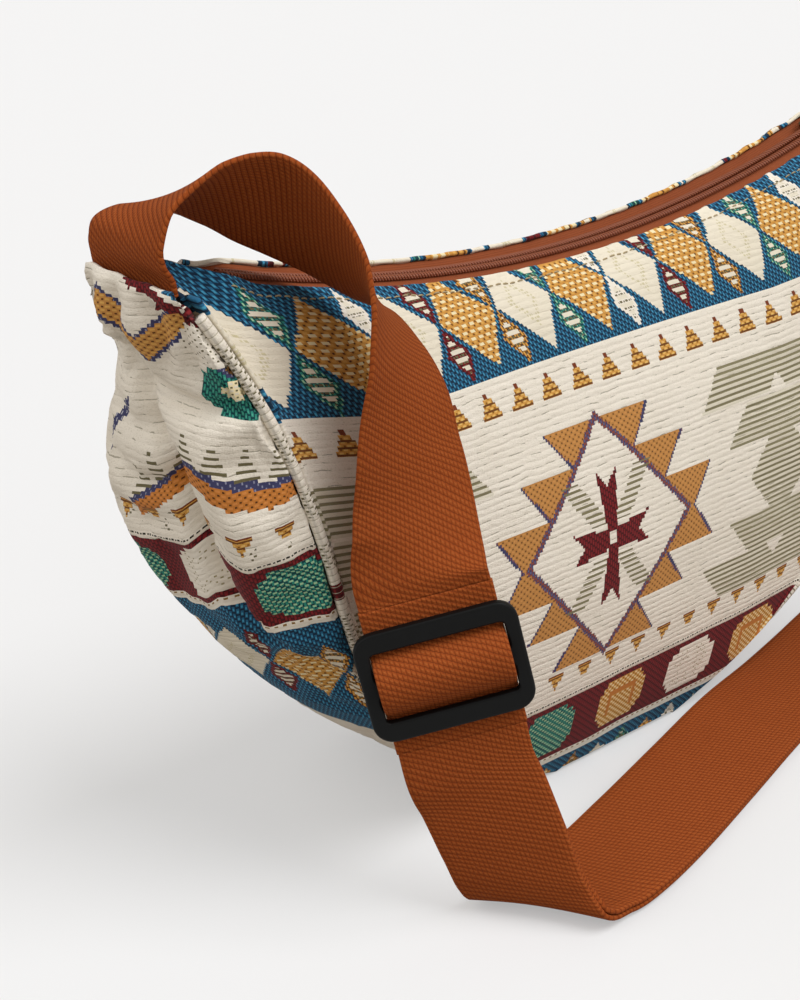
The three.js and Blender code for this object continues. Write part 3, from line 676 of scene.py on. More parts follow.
def cast_metal():
    """Antique brass: brown in the hollows, brighter where it is worn."""
    cover = Surface("antique_brass", "#6E5638", 0.36, **{"Metallic": 1.0})
    worn = cover.solid_noise(2.2, 4.0)
    cover.lay((worn - 0.45) * 1.4, "#9A7A4C")
    cover.lay(cover.solid_noise(0.5, 2.0).between(0.62, 2.0) * 0.6, "#3E3020")
    cover.raise_by(worn)
    return cover.finish(0.03)


NYLON = coil_nylon()
PLASTIC = moulded_plastic()
METAL = cast_metal()
print("materials:", ", ".join(cover.name for cover in (NYLON, PLASTIC, METAL)))


# %% [markdown]
# ## Mesh tools
# A sheet of cloth could be a plane with a Solidify modifier. Here it starts as a grid of points
# in numpy, because the bag's curves are formulas, and a shell then gives it its thickness and
# round edges. Each point also keeps its place on the flat cloth, in millimetres, as the map for
# the weave.

# %% Mesh tools
def make_object(name, points, faces, flat, material):
    mesh = bpy.data.meshes.new(name)
    places = (np.asarray(points) * MM).tolist()
    mesh.from_pydata(places, [], [list(map(int, face)) for face in faces])
    mesh.update()
    layer = mesh.uv_layers.new(name="flat_mm")
    corners = np.empty(len(mesh.loops), dtype=np.int32)
    mesh.loops.foreach_get("vertex_index", corners)
    layer.data.foreach_set("uv", np.asarray(flat, dtype=np.float32)[corners].ravel())
    mesh.shade_smooth()
    mesh.materials.append(material)
    piece = bpy.data.objects.new(name, mesh)
    bpy.context.collection.objects.link(piece)
    return piece


def unit(vectors):
    return vectors / np.maximum(np.linalg.norm(vectors, axis=-1, keepdims=True), 1e-9)


def grid_normals(grid, inside):
    normals = unit(np.cross(np.gradient(grid, axis=0), np.gradient(grid, axis=1)))
    outwards = np.sign(np.sum(normals * (grid - inside(grid)), axis=-1, keepdims=True))
    return normals * np.where(outwards == 0, 1, outwards)


def inside_bag(grid):
    middle = np.zeros_like(grid)
    middle[..., 0] = grid[..., 0] * 0.8
    middle[..., 2] = np.clip(grid[..., 2], 40, 150)
    return middle


print("the unit vector along (3, 4):", unit(np.array([3.0, 4.0])))


# %% Closed pieces
def rings_to_object(name, rings, flat, material):
    """A closed piece from rows of points, each a closed loop; flat gives each point's map place."""
    rows, count = rings.shape[:2]
    index = np.arange(rows * count).reshape(rows, count)
    following = np.roll(index, -1, axis=1)
    quads = np.stack([index[:-1], following[:-1], following[1:], index[1:]], axis=-1).reshape(-1, 4)
    faces = [list(face) for face in quads]
    half = count // 2
    for row, turned in ((0, True), (rows - 1, False)):
        loop = index[row]
        for step in range(half - 1):
            face = [loop[step], loop[step + 1], loop[count - 2 - step], loop[count - 1 - step]]
            faces.append(face[::-1] if turned else face)
    points = rings.reshape(-1, 3)
    corners = np.asarray(faces)
    a, b, c, d = (points[corners[:, place]] for place in range(4))
    volume = np.sum(a * np.cross(b, c)) + np.sum(a * np.cross(c, d))
    if volume < 0:
        faces = [face[::-1] for face in faces]
    return make_object(name, points, faces, flat.reshape(-1, 2), material)


def shell(name, grid, flat, thickness, inside, material):
    """A sheet of even thickness with round edges; the grid is its outer face."""
    normals = grid_normals(grid, inside)
    inner = grid - normals * thickness
    middle = (grid + inner) / 2
    start = unit(grid[:, 0] - grid[:, 1]) * thickness / 2
    end = unit(grid[:, -1] - grid[:, -2]) * thickness / 2
    rim_start = (middle[:, 0] + start)[:, None]
    rim_end = (middle[:, -1] + end)[:, None]
    rings = np.concatenate([rim_start, grid, rim_end, inner[:, ::-1]], axis=1)
    places = np.concatenate([flat[:, :1], flat, flat[:, -1:], flat[:, ::-1]], axis=1)
    return rings_to_object(name, rings, places, material)


def report(*pieces):
    for piece in pieces:
        print(f"{piece.name}: {len(piece.data.polygons)} faces")


print("closed pieces are made by", rings_to_object.__name__, "and", shell.__name__)

# %% [markdown]
# ### Fold tools
# Folds could be sculpted by hand, but a script has to make the same ones each time. A crease is a
# route drawn on the flat cloth, with a width; noise adds the small unevenness between creases.


# %% Fold tools
def smooth(low, high, value):
    """0 below low, 1 above high, and an even rise between them."""
    t = np.clip((value - low) / (high - low), 0, 1)
    return t * t * (3 - 2 * t)


def lengths(points, axis):
    """Distance along a grid from its first row or column."""
    gaps = np.linalg.norm(np.diff(points, axis=axis), axis=-1)
    start = np.zeros_like(np.take(gaps, [0], axis=axis))
    return np.concatenate([start, np.cumsum(gaps, axis=axis)], axis=axis)


def wander(places, size, seed):
    """Smooth unevenness between about -1 and 1 over places in millimetres."""
    shape = places.shape[:-1]
    values = [noise.noise(Vector((x / size, y / size, seed))) for x, y in places.reshape(-1, 2)]
    return np.array(values).reshape(shape)


def crease(places, route, width):
    """1 along a route through the flat cloth, falling off to both sides and fading at its ends."""
    best = np.zeros(places.shape[:-1])
    route = np.asarray(route, float)
    total = np.sum(np.linalg.norm(np.diff(route, axis=0), axis=1))
    before = 0.0
    for start, stop in zip(route[:-1], route[1:]):
        along = stop - start
        length = np.linalg.norm(along)
        share = np.clip(((places - start) @ along) / length ** 2, 0, 1)
        distance = np.linalg.norm(places - start - share[..., None] * along, axis=-1)
        run = (before + share * length) / total
        fade = np.sin(np.pi * np.clip(run, 0.04, 0.96)) ** 0.5
        best = np.maximum(best, fade * np.exp(-(distance / width) ** 2))
        before += length
    return best


print("a rise halfway up:", smooth(0, 1, 0.5))

# %% [markdown]
# ## The bag's curves
# The bag is a half-moon: a curved keel below, a zip on an arc above, and a seam between the panel
# and the gusset on either side. The same formulas made the solids, so the cloth follows them
# closely. Here they are only read more finely.

# %% The bag's curves
BAG_LENGTH = 360
BAG_DEPTH = 94
END_HEIGHT = 207
ZIP_LOW = 180
ZIP_RADIUS = 502
ZIP_HALF = 145
WALL = 1.8
PIPING = 3.6
SEAM_CLEAR = 2.25

keel_turn = np.linspace(-math.pi / 2, math.pi / 2, 6001)
keel_x = BAG_LENGTH / 2 * np.sign(keel_turn) * np.abs(np.sin(keel_turn)) ** 1.18
keel_z = np.maximum(0, END_HEIGHT - (END_HEIGHT + 4) * np.maximum(0, np.cos(keel_turn)) ** 0.87)
keel_run = np.concatenate([[0], np.cumsum(np.hypot(np.diff(keel_x), np.diff(keel_z)))])


def top_height(x):
    return ZIP_LOW + ZIP_RADIUS - np.sqrt(ZIP_RADIUS ** 2 - x ** 2)


def top_half_gap(x):
    return 8.5 - 7.5 * smooth(ZIP_HALF + 5, ZIP_HALF + 15, np.abs(x))


def along_opening(x):
    """1 along the zip, falling to 0 at its ends."""
    return 1 - smooth(ZIP_HALF - 8, ZIP_HALF + 4, np.abs(x))


def keel_at(share):
    run = np.clip(share, 0, 1) * keel_run[-1]
    return np.interp(run, keel_run, keel_x), np.interp(run, keel_run, keel_z)


def seam_at(x, z):
    share = z / END_HEIGHT
    rise = np.clip((share - 0.4) / 0.6, 0, 1)
    fall = np.clip((0.4 - share) / 0.4, 0, 1)
    depth = 44 - 21.4 * rise ** 2 - 12 * fall ** 2
    inset = 4 * share + 24 * np.sin(math.pi * np.minimum(1, share) ** 1.65)
    return np.stack([x - np.sign(x) * inset, -depth, z], axis=-1)


def seam_stations(count, trim):
    first = trim / keel_run[-1]
    share = np.linspace(first, 1 - first, count + 1)
    x, z = keel_at(share)
    along = unit(seam_at(*keel_at(share + 0.002)) - seam_at(*keel_at(share - 0.002)))
    lean = math.pi / 2 * (1 - smooth(0, 0.38, z / END_HEIGHT))
    outwards = np.stack([0 * x, -np.cos(lean), -np.sin(lean)], axis=-1)
    into_panel = unit(np.cross(outwards, along))
    keel = np.stack([x, 0 * x, z], axis=-1)
    return share * keel_run[-1], keel, seam_at(x, z), outwards, into_panel, lean


print("keel:", round(keel_run[-1]), "mm long")
print("zip:", round(float(top_height(ZIP_HALF))), "mm high at its ends")

# %% [markdown]
# ## Panels
# Each panel is one half-moon of cloth that swells over what is in the bag. A cloth simulation
# could swell it, but the belly's form is known from the photograph. So the grid has that form
# from the start, and puckers under the zip, slack and two creases at either end are pressed in.


# %% Panel form
def belly_half_depth(x, z):
    belly = 47 - 5 * (2 * x / BAG_LENGTH) ** 2
    share = z / top_height(x)
    gap = top_half_gap(x)
    rise = np.clip((share - 0.35) / 0.65, 0, 1)
    fall = np.clip((0.35 - share) / 0.35, 0, 1)
    high = gap + (belly - gap) * (1 - rise ** 2) ** 0.75
    low = belly - (belly - 34) * fall ** 2.2
    return np.where(share > 0.35, high, low)


def panel_grid(columns, rows):
    _, _, seam, _, into_panel, lean = seam_stations(columns, 5)
    edge = seam + into_panel * (SEAM_CLEAR + WALL * np.sin(lean))[:, None]
    extra = -edge[:, 1] - belly_half_depth(edge[:, 0], edge[:, 2])
    share = np.linspace(0, 1, rows + 1)
    top = top_height(edge[:, 0])
    z = edge[:, 2:] + (top - edge[:, 2])[:, None] * (1 + np.cos(math.pi * share)) / 2
    x = np.repeat(edge[:, :1], rows + 1, axis=1)
    y = -(belly_half_depth(x, z) + extra[:, None] * share ** 3)
    return np.stack([x, y, z], axis=-1)


print("the belly is", round(-panel_grid(60, 20)[..., 1].min()), "mm deep in front of the middle")


# %% Panel map and folds
def panel_flat(grid):
    """Flat places of a panel: height is kept down to the red band, then length along the cloth.

    Towards the ends the pattern is drawn up and wider, and under the zip it leans to the left.
    """
    run = lengths(grid, 1)
    low = 10.0
    passed = np.array([np.interp(-low, -column[:, 2], line) for column, line in zip(grid, run)])
    high = np.where(grid[..., 2] > low, grid[..., 2], low - (run - passed[:, None]))
    out = np.abs(grid[..., 0])
    drawn_up = np.interp(out, [79, 115, 145, 165], [0, 2, 9, 14]) * smooth(70, 150, high)
    high = high - drawn_up
    wide = np.sign(grid[..., 0]) * np.minimum(out, 114 + (out - 114) * 0.67)
    leaning = np.interp(high, [20, 50, 91, 125, 146, 156, 200], [2.5, 2.5, 0, 0, 2, 5, 26])
    return np.stack([wide + leaning, high], axis=-1)


# creases at a panel's right end: route on the flat cloth, move outwards and width
PANEL_CREASES = [
    ([(158, 178), (147, 140), (132, 100), (116, 66)], -2.6, 8),
    ([(146, 185), (134, 140), (118, 100)], 1.8, 9),
]


def panel_folds(flat, grid, seed):
    x, z = flat[..., 0], flat[..., 1]
    below_top = top_height(grid[..., 0]) - grid[..., 2]
    pucker = np.cos(2 * math.pi * x / 13 + 2.5 * wander(flat, 40, seed)) * np.exp(-below_top / 7)
    slack = wander(flat, 70, seed + 5) * 1.6 + wander(flat, 24, seed + 9) * 0.5
    away = smooth(0, 25, below_top) * smooth(0, 14, z + 6)
    fold = 0 * x
    for side in (-1, 1):
        for route, move, width in PANEL_CREASES:
            fold = fold + move * crease(flat, np.array(route) * (side, 1), width)
    return 0.5 * pucker + slack * away + fold


print("creases at each end of a panel:", len(PANEL_CREASES))

# %% Panels
HEM_DEPTH = 16
HEM_MOVE = 2.0
FLOOR_CLEAR = 0.8
CLOTH_THICK = WALL - 0.3
BACK_CUT = np.array([31.0, -14.0])


def make_panel(name, side, seed):
    """One panel; its hem is moved at the zip, and the back is cut from elsewhere in the cloth."""
    grid = panel_grid(210, 72)
    flat = panel_flat(grid)
    moved = grid + grid_normals(grid, inside_bag) * panel_folds(flat, grid, seed)[..., None]
    share = np.linspace(0, 1, grid.shape[1])
    edge = smooth(0, 0.05, share) * smooth(0, 0.08, 1 - share)
    moved = grid + (moved - grid) * edge[None, :, None]
    hem = (1 - smooth(0, HEM_DEPTH, lengths(grid, 1))) * along_opening(grid[..., 0])
    moved[..., 2] = np.maximum(moved[..., 2] + side * HEM_MOVE * hem, FLOOR_CLEAR)
    if side > 0:
        moved[..., 1] *= -1
        flat = flat + BACK_CUT
    return shell(name, moved, flat, CLOTH_THICK, inside_bag, CLOTH_PANEL), moved


front_panel, front_grid = make_panel("front_cloth", -1, 1.0)
back_panel, back_grid = make_panel("back_cloth", 1, 21.0)
report(front_panel, back_panel)

# %% [markdown]
# ## Gusset
# The gusset is one long strip, pulled in under the strap's root and slack below it. Its main
# folds are drawn as routes on the flat strip, as the photograph shows them. A short cloth
# simulation then lets a little extra cloth buckle between the held seams, which looks softer than
# pressed creases alone.


# %% Gusset folds
def gusset_grid(rows, columns):
    run, keel, seam, _, into_panel, _ = seam_stations(rows, 0)
    edge = seam - into_panel * SEAM_CLEAR
    turn = np.linspace(-1, 1, columns + 1) * math.pi / 2
    inwards = 1 - np.cos(turn)
    x = keel[:, :1] + (edge[:, :1] - keel[:, :1]) * inwards
    y = -edge[:, 1:2] * np.sin(turn)
    z = keel[:, 2:] + (edge[:, 2:] - keel[:, 2:]) * inwards
    return run, np.stack([x, y, z], axis=-1)


# routes of the folds at an end: across the strip and along it from its top, with depth and width
GUSSET_VALLEYS = [
    ([(7, 26), (3, 38), (-8, 57), (-13, 85), (-18, 108), (-23, 122)], 8.5, 4.2),
    ([(-27, 2), (-22, 14), (-24, 26), (-34, 38)], 3.4, 3.2),
    ([(-12, 2), (-15, 14), (-10, 28)], 3.4, 3.2),
    ([(2, 2), (4, 16), (1, 28)], 2.8, 3.4),
    ([(15, 2), (16, 16), (10, 30)], 2.4, 3.6),
    ([(-36, 36), (-20, 38), (-4, 36), (8, 34)], 3.2, 4.0),
    ([(26, 46), (10, 52), (-5, 50)], 3.0, 4.0),
    ([(26, 64), (10, 71), (-8, 67)], 2.2, 4.5),
    ([(28, 80), (12, 86), (-8, 82)], 1.6, 4.5),
    ([(-52, 66), (-46, 78), (-43, 96)], 1.3, 5.0),
]
GUSSET_RIDGES = [
    ([(-22, 40), (-26, 60), (-31, 90), (-34, 118)], 3.2, 9.0),
    ([(-36, 1), (-37, 12), (-38, 24)], 4.6, 7.0),
    ([(-5, 6), (-5, 24)], 2.2, 5.0),
    ([(-19, 8), (-16, 22)], 1.8, 4.5),
    ([(9, 6), (9, 22)], 1.8, 5.0),
]


def gusset_folds(places):
    """Distance outwards: the waist under the strap root, the slack below it, and the folds."""
    across, down = places[..., 0], places[..., 1]
    pulled = np.interp(
        down,
        [0, 10, 17, 26, 35, 46, 57, 70, 87, 97, 112, 130, 150, 170, 195],
        [0, 0, -1.5, -6, -5.6, -3, 0, 4, 5, 4.6, 2, -1, -3, -3, 0],
    )
    moved = pulled * np.exp(-((across - 21) / 17) ** 2)
    moved -= 2.0 * np.exp(-((down - 30) / 9) ** 2) * np.exp(-((across + 14) / 16) ** 2)
    for route, depth, width in GUSSET_VALLEYS:
        moved -= depth * crease(places, route, width)
    for route, height, width in GUSSET_RIDGES:
        moved += height * crease(places, route, width)
    return moved


print("gusset:", len(GUSSET_VALLEYS), "valleys and", len(GUSSET_RIDGES), "ridges at each end")


# %% Cloth simulation
def settle(name, grid, pinned, growth, cap):
    """Cloth simulation: a little more cloth than is needed buckles between its held points."""
    rows, columns = grid.shape[:2]
    index = np.arange(rows * columns).reshape(rows, columns)
    corners = [index[:-1, :-1], index[1:, :-1], index[1:, 1:], index[:-1, 1:]]
    quads = np.stack(corners, axis=-1).reshape(-1, 4)
    no_map = np.zeros((rows * columns, 2))
    sheet = make_object(name, grid.reshape(-1, 3), quads, no_map, CLOTH_GUSSET)
    pins = sheet.vertex_groups.new(name="held")
    pins.add(index[pinned].tolist(), 1.0, "REPLACE")
    cloth = sheet.modifiers.new("cloth", "CLOTH")
    cloth.settings.quality = 5
    cloth.settings.mass = 0.2
    cloth.settings.tension_stiffness = 20
    cloth.settings.compression_stiffness = 20
    cloth.settings.shear_stiffness = 8
    cloth.settings.bending_stiffness = 0.4
    cloth.settings.shrink_min = -growth
    cloth.settings.vertex_group_mass = pins.name
    cloth.settings.effector_weights.gravity = 0
    cloth.collision_settings.use_collision = False
    last = 20
    cloth.point_cache.frame_start = 1
    cloth.point_cache.frame_end = last
    scene = bpy.context.scene
    for step in range(1, last + 1):
        scene.frame_set(step)
    points = np.empty(rows * columns * 3, dtype=np.float32)
    settled = sheet.evaluated_get(bpy.context.evaluated_depsgraph_get())
    settled.data.vertices.foreach_get("co", points)
    bpy.data.objects.remove(sheet)
    scene.frame_set(1)
    moved = points.reshape(rows, columns, 3) / MM - grid
    far = np.linalg.norm(moved, axis=-1, keepdims=True)
    return grid + moved * np.minimum(1, cap / np.maximum(far, 1e-9))


# %% Gusset
def make_gusset():
    run, grid = gusset_grid(230, 64)
    across = lengths(grid, 1)
    across = across - across[:, [32]]
    total = run[-1]
    from_end = np.minimum(run, total - run)
    places = np.stack([across, np.repeat(from_end[:, None], across.shape[1], axis=1)], axis=-1)
    turn = np.linspace(-1, 1, across.shape[1])
    share = np.abs(turn)
    held = (1 - share ** 6)[None, :] * smooth(0, 4, from_end)[:, None]
    left = (run < total / 2)[:, None]
    folds = gusset_folds(places) * np.where(left, 1.0, 0.75)
    above_floor = smooth(2, 30, grid[..., 2])
    slack = (wander(places, 22, 3.0) * 1.0 + wander(places, 9, 8.0) * 0.35) * above_floor
    moved = grid + grid_normals(grid, inside_bag) * ((folds + slack) * held)[..., None]
    hem = np.sin(math.pi * np.clip(from_end / 7, 0, 1))[:, None] * (1 - share ** 4)[None, :]
    moved += grid_normals(grid, inside_bag) * (0.9 * hem)[..., None]
    back = smooth(0.5, 1, turn)[None, :] * (1 - smooth(0, HEM_DEPTH, from_end))[:, None]
    moved[..., 2] -= 5.0 * back
    moved[..., 0] -= np.sign(moved[..., 0]) * 4.0 * back
    pinned = (share > 0.97)[None, :] | (from_end < 5)[:, None] | (grid[..., 2] < 3)
    moved = settle("gusset_settling", moved, pinned, 0.035, 5.0)
    moved[..., 2] = np.maximum(moved[..., 2], 0.4)
    bend = np.interp(
        across,
        [-60, -54, -45, -30, -20, -11, -5, 6, 24, 60],
        [-4, -3.5, -1, 4, 0, 0, 5, 7, 9, 9],
    )
    drawn = smooth(45, 75, places[..., 1]) * (1 - smooth(112, 150, places[..., 1]))
    flat = np.stack([-across, 48 - 1.054 * (places[..., 1] - bend * drawn - 73)], axis=-1)
    return shell("gusset_cloth", moved, flat, CLOTH_THICK, inside_bag, CLOTH_GUSSET)


gusset = make_gusset()
report(gusset)

# %% [markdown]
# ## Piping
# A strip of cloth rolled round a cord stands along both seams. A bevelled curve could make it. A
# tube of rings in numpy does the same, and lets its radius vary a little, as hand-fed piping
# does.


# %% Piping
def make_piping(name, side):
    run, _, seam, outwards, _, _ = seam_stations(420, 8)
    route = seam + outwards * 0.5
    route[:, 2] = np.maximum(route[:, 2], PIPING / 2)
    route[:, 1] *= -side
    along = unit(np.gradient(route, axis=0))
    first = unit(np.cross(along, np.array([0.0, 0.0, 1.0]) + 0 * along))
    second = np.cross(first, along)
    count = 14
    turn = np.arange(count) / count * 2 * math.pi
    swell = 1 + 0.05 * np.sin(run / 2.1) + 0.05 * np.sin(run / 5.3)
    radius = PIPING / 2 * np.minimum(swell, 1.0)
    rings = route[:, None] + radius[:, None, None] * (
        np.cos(turn)[None, :, None] * first[:, None] + np.sin(turn)[None, :, None] * second[:, None]
    )
    flat = np.stack(np.broadcast_arrays(turn[None, :] * PIPING / 2, run[:, None]), axis=-1)
    return rings_to_object(name, rings, flat, CLOTH_PIPING)


front_piping = make_piping("front_piping_cloth", 1)
back_piping = make_piping("back_piping_cloth", -1)
report(front_piping, back_piping)

# %% [markdown]
# ## Zip tapes
# Two woven tapes follow the top arc and run under the panels' hems. They are thin shells like the
# panels. The back tape rises to its hem, as the photograph looks over the front one.

# %% Zip tapes
TAPE_DROP = 2.2
TAPE_THICK = 0.8
CHAIN_GAP = 1.2
COIL_WIDTH = 3.2
TAPE_TAIL = 12
TAPE_REACH = 8.7
TAPE_TURN = 5.2
FRONT_TAPE_RISE = -0.2
BACK_TAPE_RISE = 2.5


def make_tape(name, side):
    x = np.linspace(-ZIP_HALF - TAPE_TAIL, ZIP_HALF + TAPE_TAIL, 216)
    y = np.linspace(CHAIN_GAP / 2, TAPE_REACH, 18)
    narrowed = 1 - 0.5 * smooth(0, TAPE_TAIL, np.abs(x) - ZIP_HALF)
    grid = np.zeros((len(x), len(y), 3))
    grid[..., 0] = x[:, None]
    grid[..., 1] = side * y[None, :] * narrowed[:, None]
    ripple = 0.12 * np.sin(x / 6.0)[:, None] * smooth(3, 8, y)[None, :]
    lift = BACK_TAPE_RISE if side > 0 else FRONT_TAPE_RISE
    rise = lift * smooth(TAPE_TURN, TAPE_REACH, y)[None, :] * along_opening(x)[:, None]
    grid[..., 2] = top_height(x)[:, None] - TAPE_DROP + np.minimum(ripple, 0) + rise
    flat = np.stack(np.broadcast_arrays(y[None, :], x[:, None]), axis=-1)
    below = grid - np.array([0, 0, 50.0])
    return shell(name, grid, flat, TAPE_THICK, lambda _: below, TAPE)


front_tape = make_tape("front_woven_tape", -1)
back_tape = make_tape("back_woven_tape", 1)
report(front_tape, back_tape)

# %% [markdown]
# ## Coils
# A coil zip has hundreds of equal turns of nylon wire. Copying them in a loop would work, but
# Geometry Nodes is made for it: a line becomes points at an even pitch, and each point gets a
# copy of one turn. Pitch and size are named inputs of the tree. The copies are made real and
# painted at the end, because only real faces are exported.


# %% Repeated pieces
def curve_object(name, points):
    """A bare line through points in millimetres, for instances to follow."""
    data = bpy.data.meshes.new(name)
    places = (np.asarray(points) * MM).tolist()
    data.from_pydata(places, [(i, i + 1) for i in range(len(places) - 1)], [])
    line = bpy.data.objects.new(name, data)
    bpy.context.collection.objects.link(line)
    return line


def repeated(name, points, tooth, pitch, material, up):
    """Copies of a small piece along a line, by Geometry Nodes, turned into one mesh."""
    line = curve_object(name, points)
    tree = bpy.data.node_groups.new(name, "GeometryNodeTree")
    tree.interface.new_socket("Geometry", in_out="INPUT", socket_type="NodeSocketGeometry")
    tree.interface.new_socket("Geometry", in_out="OUTPUT", socket_type="NodeSocketGeometry")
    pitch_input = tree.interface.new_socket("Pitch", in_out="INPUT", socket_type="NodeSocketFloat")
    size_input = tree.interface.new_socket("Size", in_out="INPUT", socket_type="NodeSocketFloat")
    source = add_node(tree, "NodeGroupInput")
    curve = add_node(tree, "GeometryNodeMeshToCurve", {"Mesh": source.outputs["Geometry"]})
    steps = add_node(tree, "GeometryNodeCurveToPoints", {
        "Curve": curve.outputs["Curve"],
        "Length": source.outputs["Pitch"],
    }, mode="LENGTH")
    turn = add_node(tree, "FunctionNodeAlignRotationToVector", {
        "Vector": steps.outputs["Tangent"],
    }, axis="X")
    level = add_node(tree, "FunctionNodeAlignRotationToVector", {
        "Rotation": turn.outputs["Rotation"],
        "Vector": up,
    }, axis="Z", pivot_axis="X")
    shape = add_node(tree, "GeometryNodeObjectInfo", {"Object": tooth}, transform_space="ORIGINAL")
    copies = add_node(tree, "GeometryNodeInstanceOnPoints", {
        "Points": steps.outputs["Points"],
        "Instance": shape.outputs["Geometry"],
        "Rotation": level.outputs["Rotation"],
        "Scale": source.outputs["Size"],
    })
    real = add_node(tree, "GeometryNodeRealizeInstances", {"Geometry": copies.outputs["Instances"]})
    painted = add_node(tree, "GeometryNodeSetMaterial", {
        "Geometry": real.outputs["Geometry"],
        "Material": material,
    })
    add_node(tree, "NodeGroupOutput", {"Geometry": painted.outputs["Geometry"]})
    modifier = line.modifiers.new("repeat", "NODES")
    modifier.node_group = tree
    modifier[pitch_input.identifier] = pitch * MM
    modifier[size_input.identifier] = 1.0
    evaluated = line.evaluated_get(bpy.context.evaluated_depsgraph_get())
    mesh = bpy.data.meshes.new_from_object(evaluated)
    mesh.name = name
    mesh.shade_smooth()
    piece = bpy.data.objects.new(name, mesh)
    bpy.context.collection.objects.link(piece)
    bpy.data.objects.remove(line)
    return piece


def tube(name, route, radius, sides, material):
    """A round thread through points in millimetres, for use as one repeated piece."""
    route = np.asarray(route, float)
    along = unit(np.gradient(route, axis=0))
    first = unit(np.cross(along, np.array([0.31, 0.17, 0.93]) + 0 * along))
    second = np.cross(along, first)
    turn = np.arange(sides) / sides * 2 * math.pi
    sizes = np.full(len(route), radius)
    sizes[[0, -1]] *= 0.55
    rings = route[:, None] + sizes[:, None, None] * (
        np.cos(turn)[None, :, None] * first[:, None] + np.sin(turn)[None, :, None] * second[:, None]
    )
    flat = np.zeros((len(route), sides, 2))
    return rings_to_object(name, rings, flat, material)


print("tools for repeated pieces:", repeated.__name__, "and", tube.__name__)

# %% Coils
COIL_PITCH = 1.25
WIRE_RADIUS = 0.37


def coil_turn(side):
    """One turn of the nylon coil: over the top from the outer edge to the head, and back below."""
    wide = COIL_WIDTH - 0.9
    route = [
        (-0.30, side * (wide + 0.25), 0.55),
        (-0.22, side * wide, 1.20),
        (-0.05, side * wide * 0.55, 1.50),
        (0.10, side * 0.45, 1.42),
        (0.22, side * 0.0, 1.05),
        (0.34, side * 0.05, 0.60),
        (0.42, side * 0.7, 0.42),
        (0.50, side * wide * 0.7, 0.42),
        (0.58, side * wide, 0.50),
    ]
    return tube("coil_turn", route, WIRE_RADIUS, 8, NYLON)


def chain_line(side, out, lift):
    x = np.linspace(-ZIP_HALF + 1, ZIP_HALF - 1, 240)
    return np.stack([x, 0 * x + side * out, top_height(x) - TAPE_DROP + lift], axis=-1)


coils = {}
for name, side in (("front", -1), ("back", 1)):
    turn_piece = coil_turn(side)
    head_line = chain_line(side, CHAIN_GAP / 2 + WIRE_RADIUS + 0.05, 0.15)
    coils[name] = repeated(
        f"{name}_coil_turns", head_line, turn_piece, COIL_PITCH, NYLON, (0, 0, 1)
    )
    bpy.data.objects.remove(turn_piece)
report(*coils.values())

# %% [markdown]
# ## Hem stitches
# The panels' hems are topstitched along the zip. A stitch is a short bent thread, and the same
# tree sets one after the other on a line that lies on the cloth, five millimetres from its edge.

# %% Hem stitches
HEM_INSET = 5.0
STITCH_PITCH = 3.4
STITCH_ROUTE = [(-1.15, 0, -0.35), (-0.8, 0, 0.1), (0, 0, 0.22), (0.8, 0, 0.1), (1.15, 0, -0.35)]
stitch_piece = tube("stitch", STITCH_ROUTE, 0.26, 6, THREAD)


def hem_line(grid):
    """A line on the cloth at an even distance from its top edge."""
    return np.array([
        [np.interp(HEM_INSET, line, column[:, axis]) for axis in range(3)]
        for column, line in zip(grid, lengths(grid, 1))
    ])


def along_zip(line):
    kept = line[np.abs(line[:, 0]) < ZIP_HALF + 4]
    return kept + np.array([0, 0, 0.15])


stitches = []
for name, grid, lean in (("front", front_grid, -0.45), ("back", back_grid, 0.45)):
    line = along_zip(hem_line(grid))
    stitches.append(repeated(
        f"{name}_hem_stitches", line, stitch_piece, STITCH_PITCH, THREAD, (0, lean, 0.89)
    ))
bpy.data.objects.remove(stitch_piece)
report(*stitches)

# %% [markdown]
# ## Strap tools
# The strap is one length of 40 mm webbing. A cloth simulation of a strap seldom ends where a
# photograph shows it. So it is a ribbon along stations, each a middle point and the direction
# across the webbing there, and a smooth curve runs through both. Stations are written in
# hundredths of the bag's length, depth and height. Where the strap bends on the floor its rulings
# lie aslant, as those of a folded strip.

# %% Strap tools
STRAP_WIDTH = 40
STRAP_THICK = 1.8
LAYER_GAP = 0.3
LAYER_PITCH = STRAP_THICK + LAYER_GAP
ADJUSTER_THICK = 3.2
BEHIND_FRAME = ADJUSTER_THICK / 2 + LAYER_GAP + STRAP_THICK / 2
REACH = 24
ROOT_X = 174.4
HUNDREDTHS = np.array([BAG_LENGTH, BAG_DEPTH, END_HEIGHT]) / 100
ADJUSTER = np.array([-34.17, -79.26, 43.48]) * HUNDREDTHS
STRAP_DOWN = unit(np.array([0.15, -0.19, -0.97]))
STRAP_ACROSS = np.array([0.79, -0.57, 0.23])
STRAP_ACROSS = unit(STRAP_ACROSS - STRAP_ACROSS @ STRAP_DOWN * STRAP_DOWN)
STRAP_FACE = np.cross(STRAP_DOWN, STRAP_ACROSS)


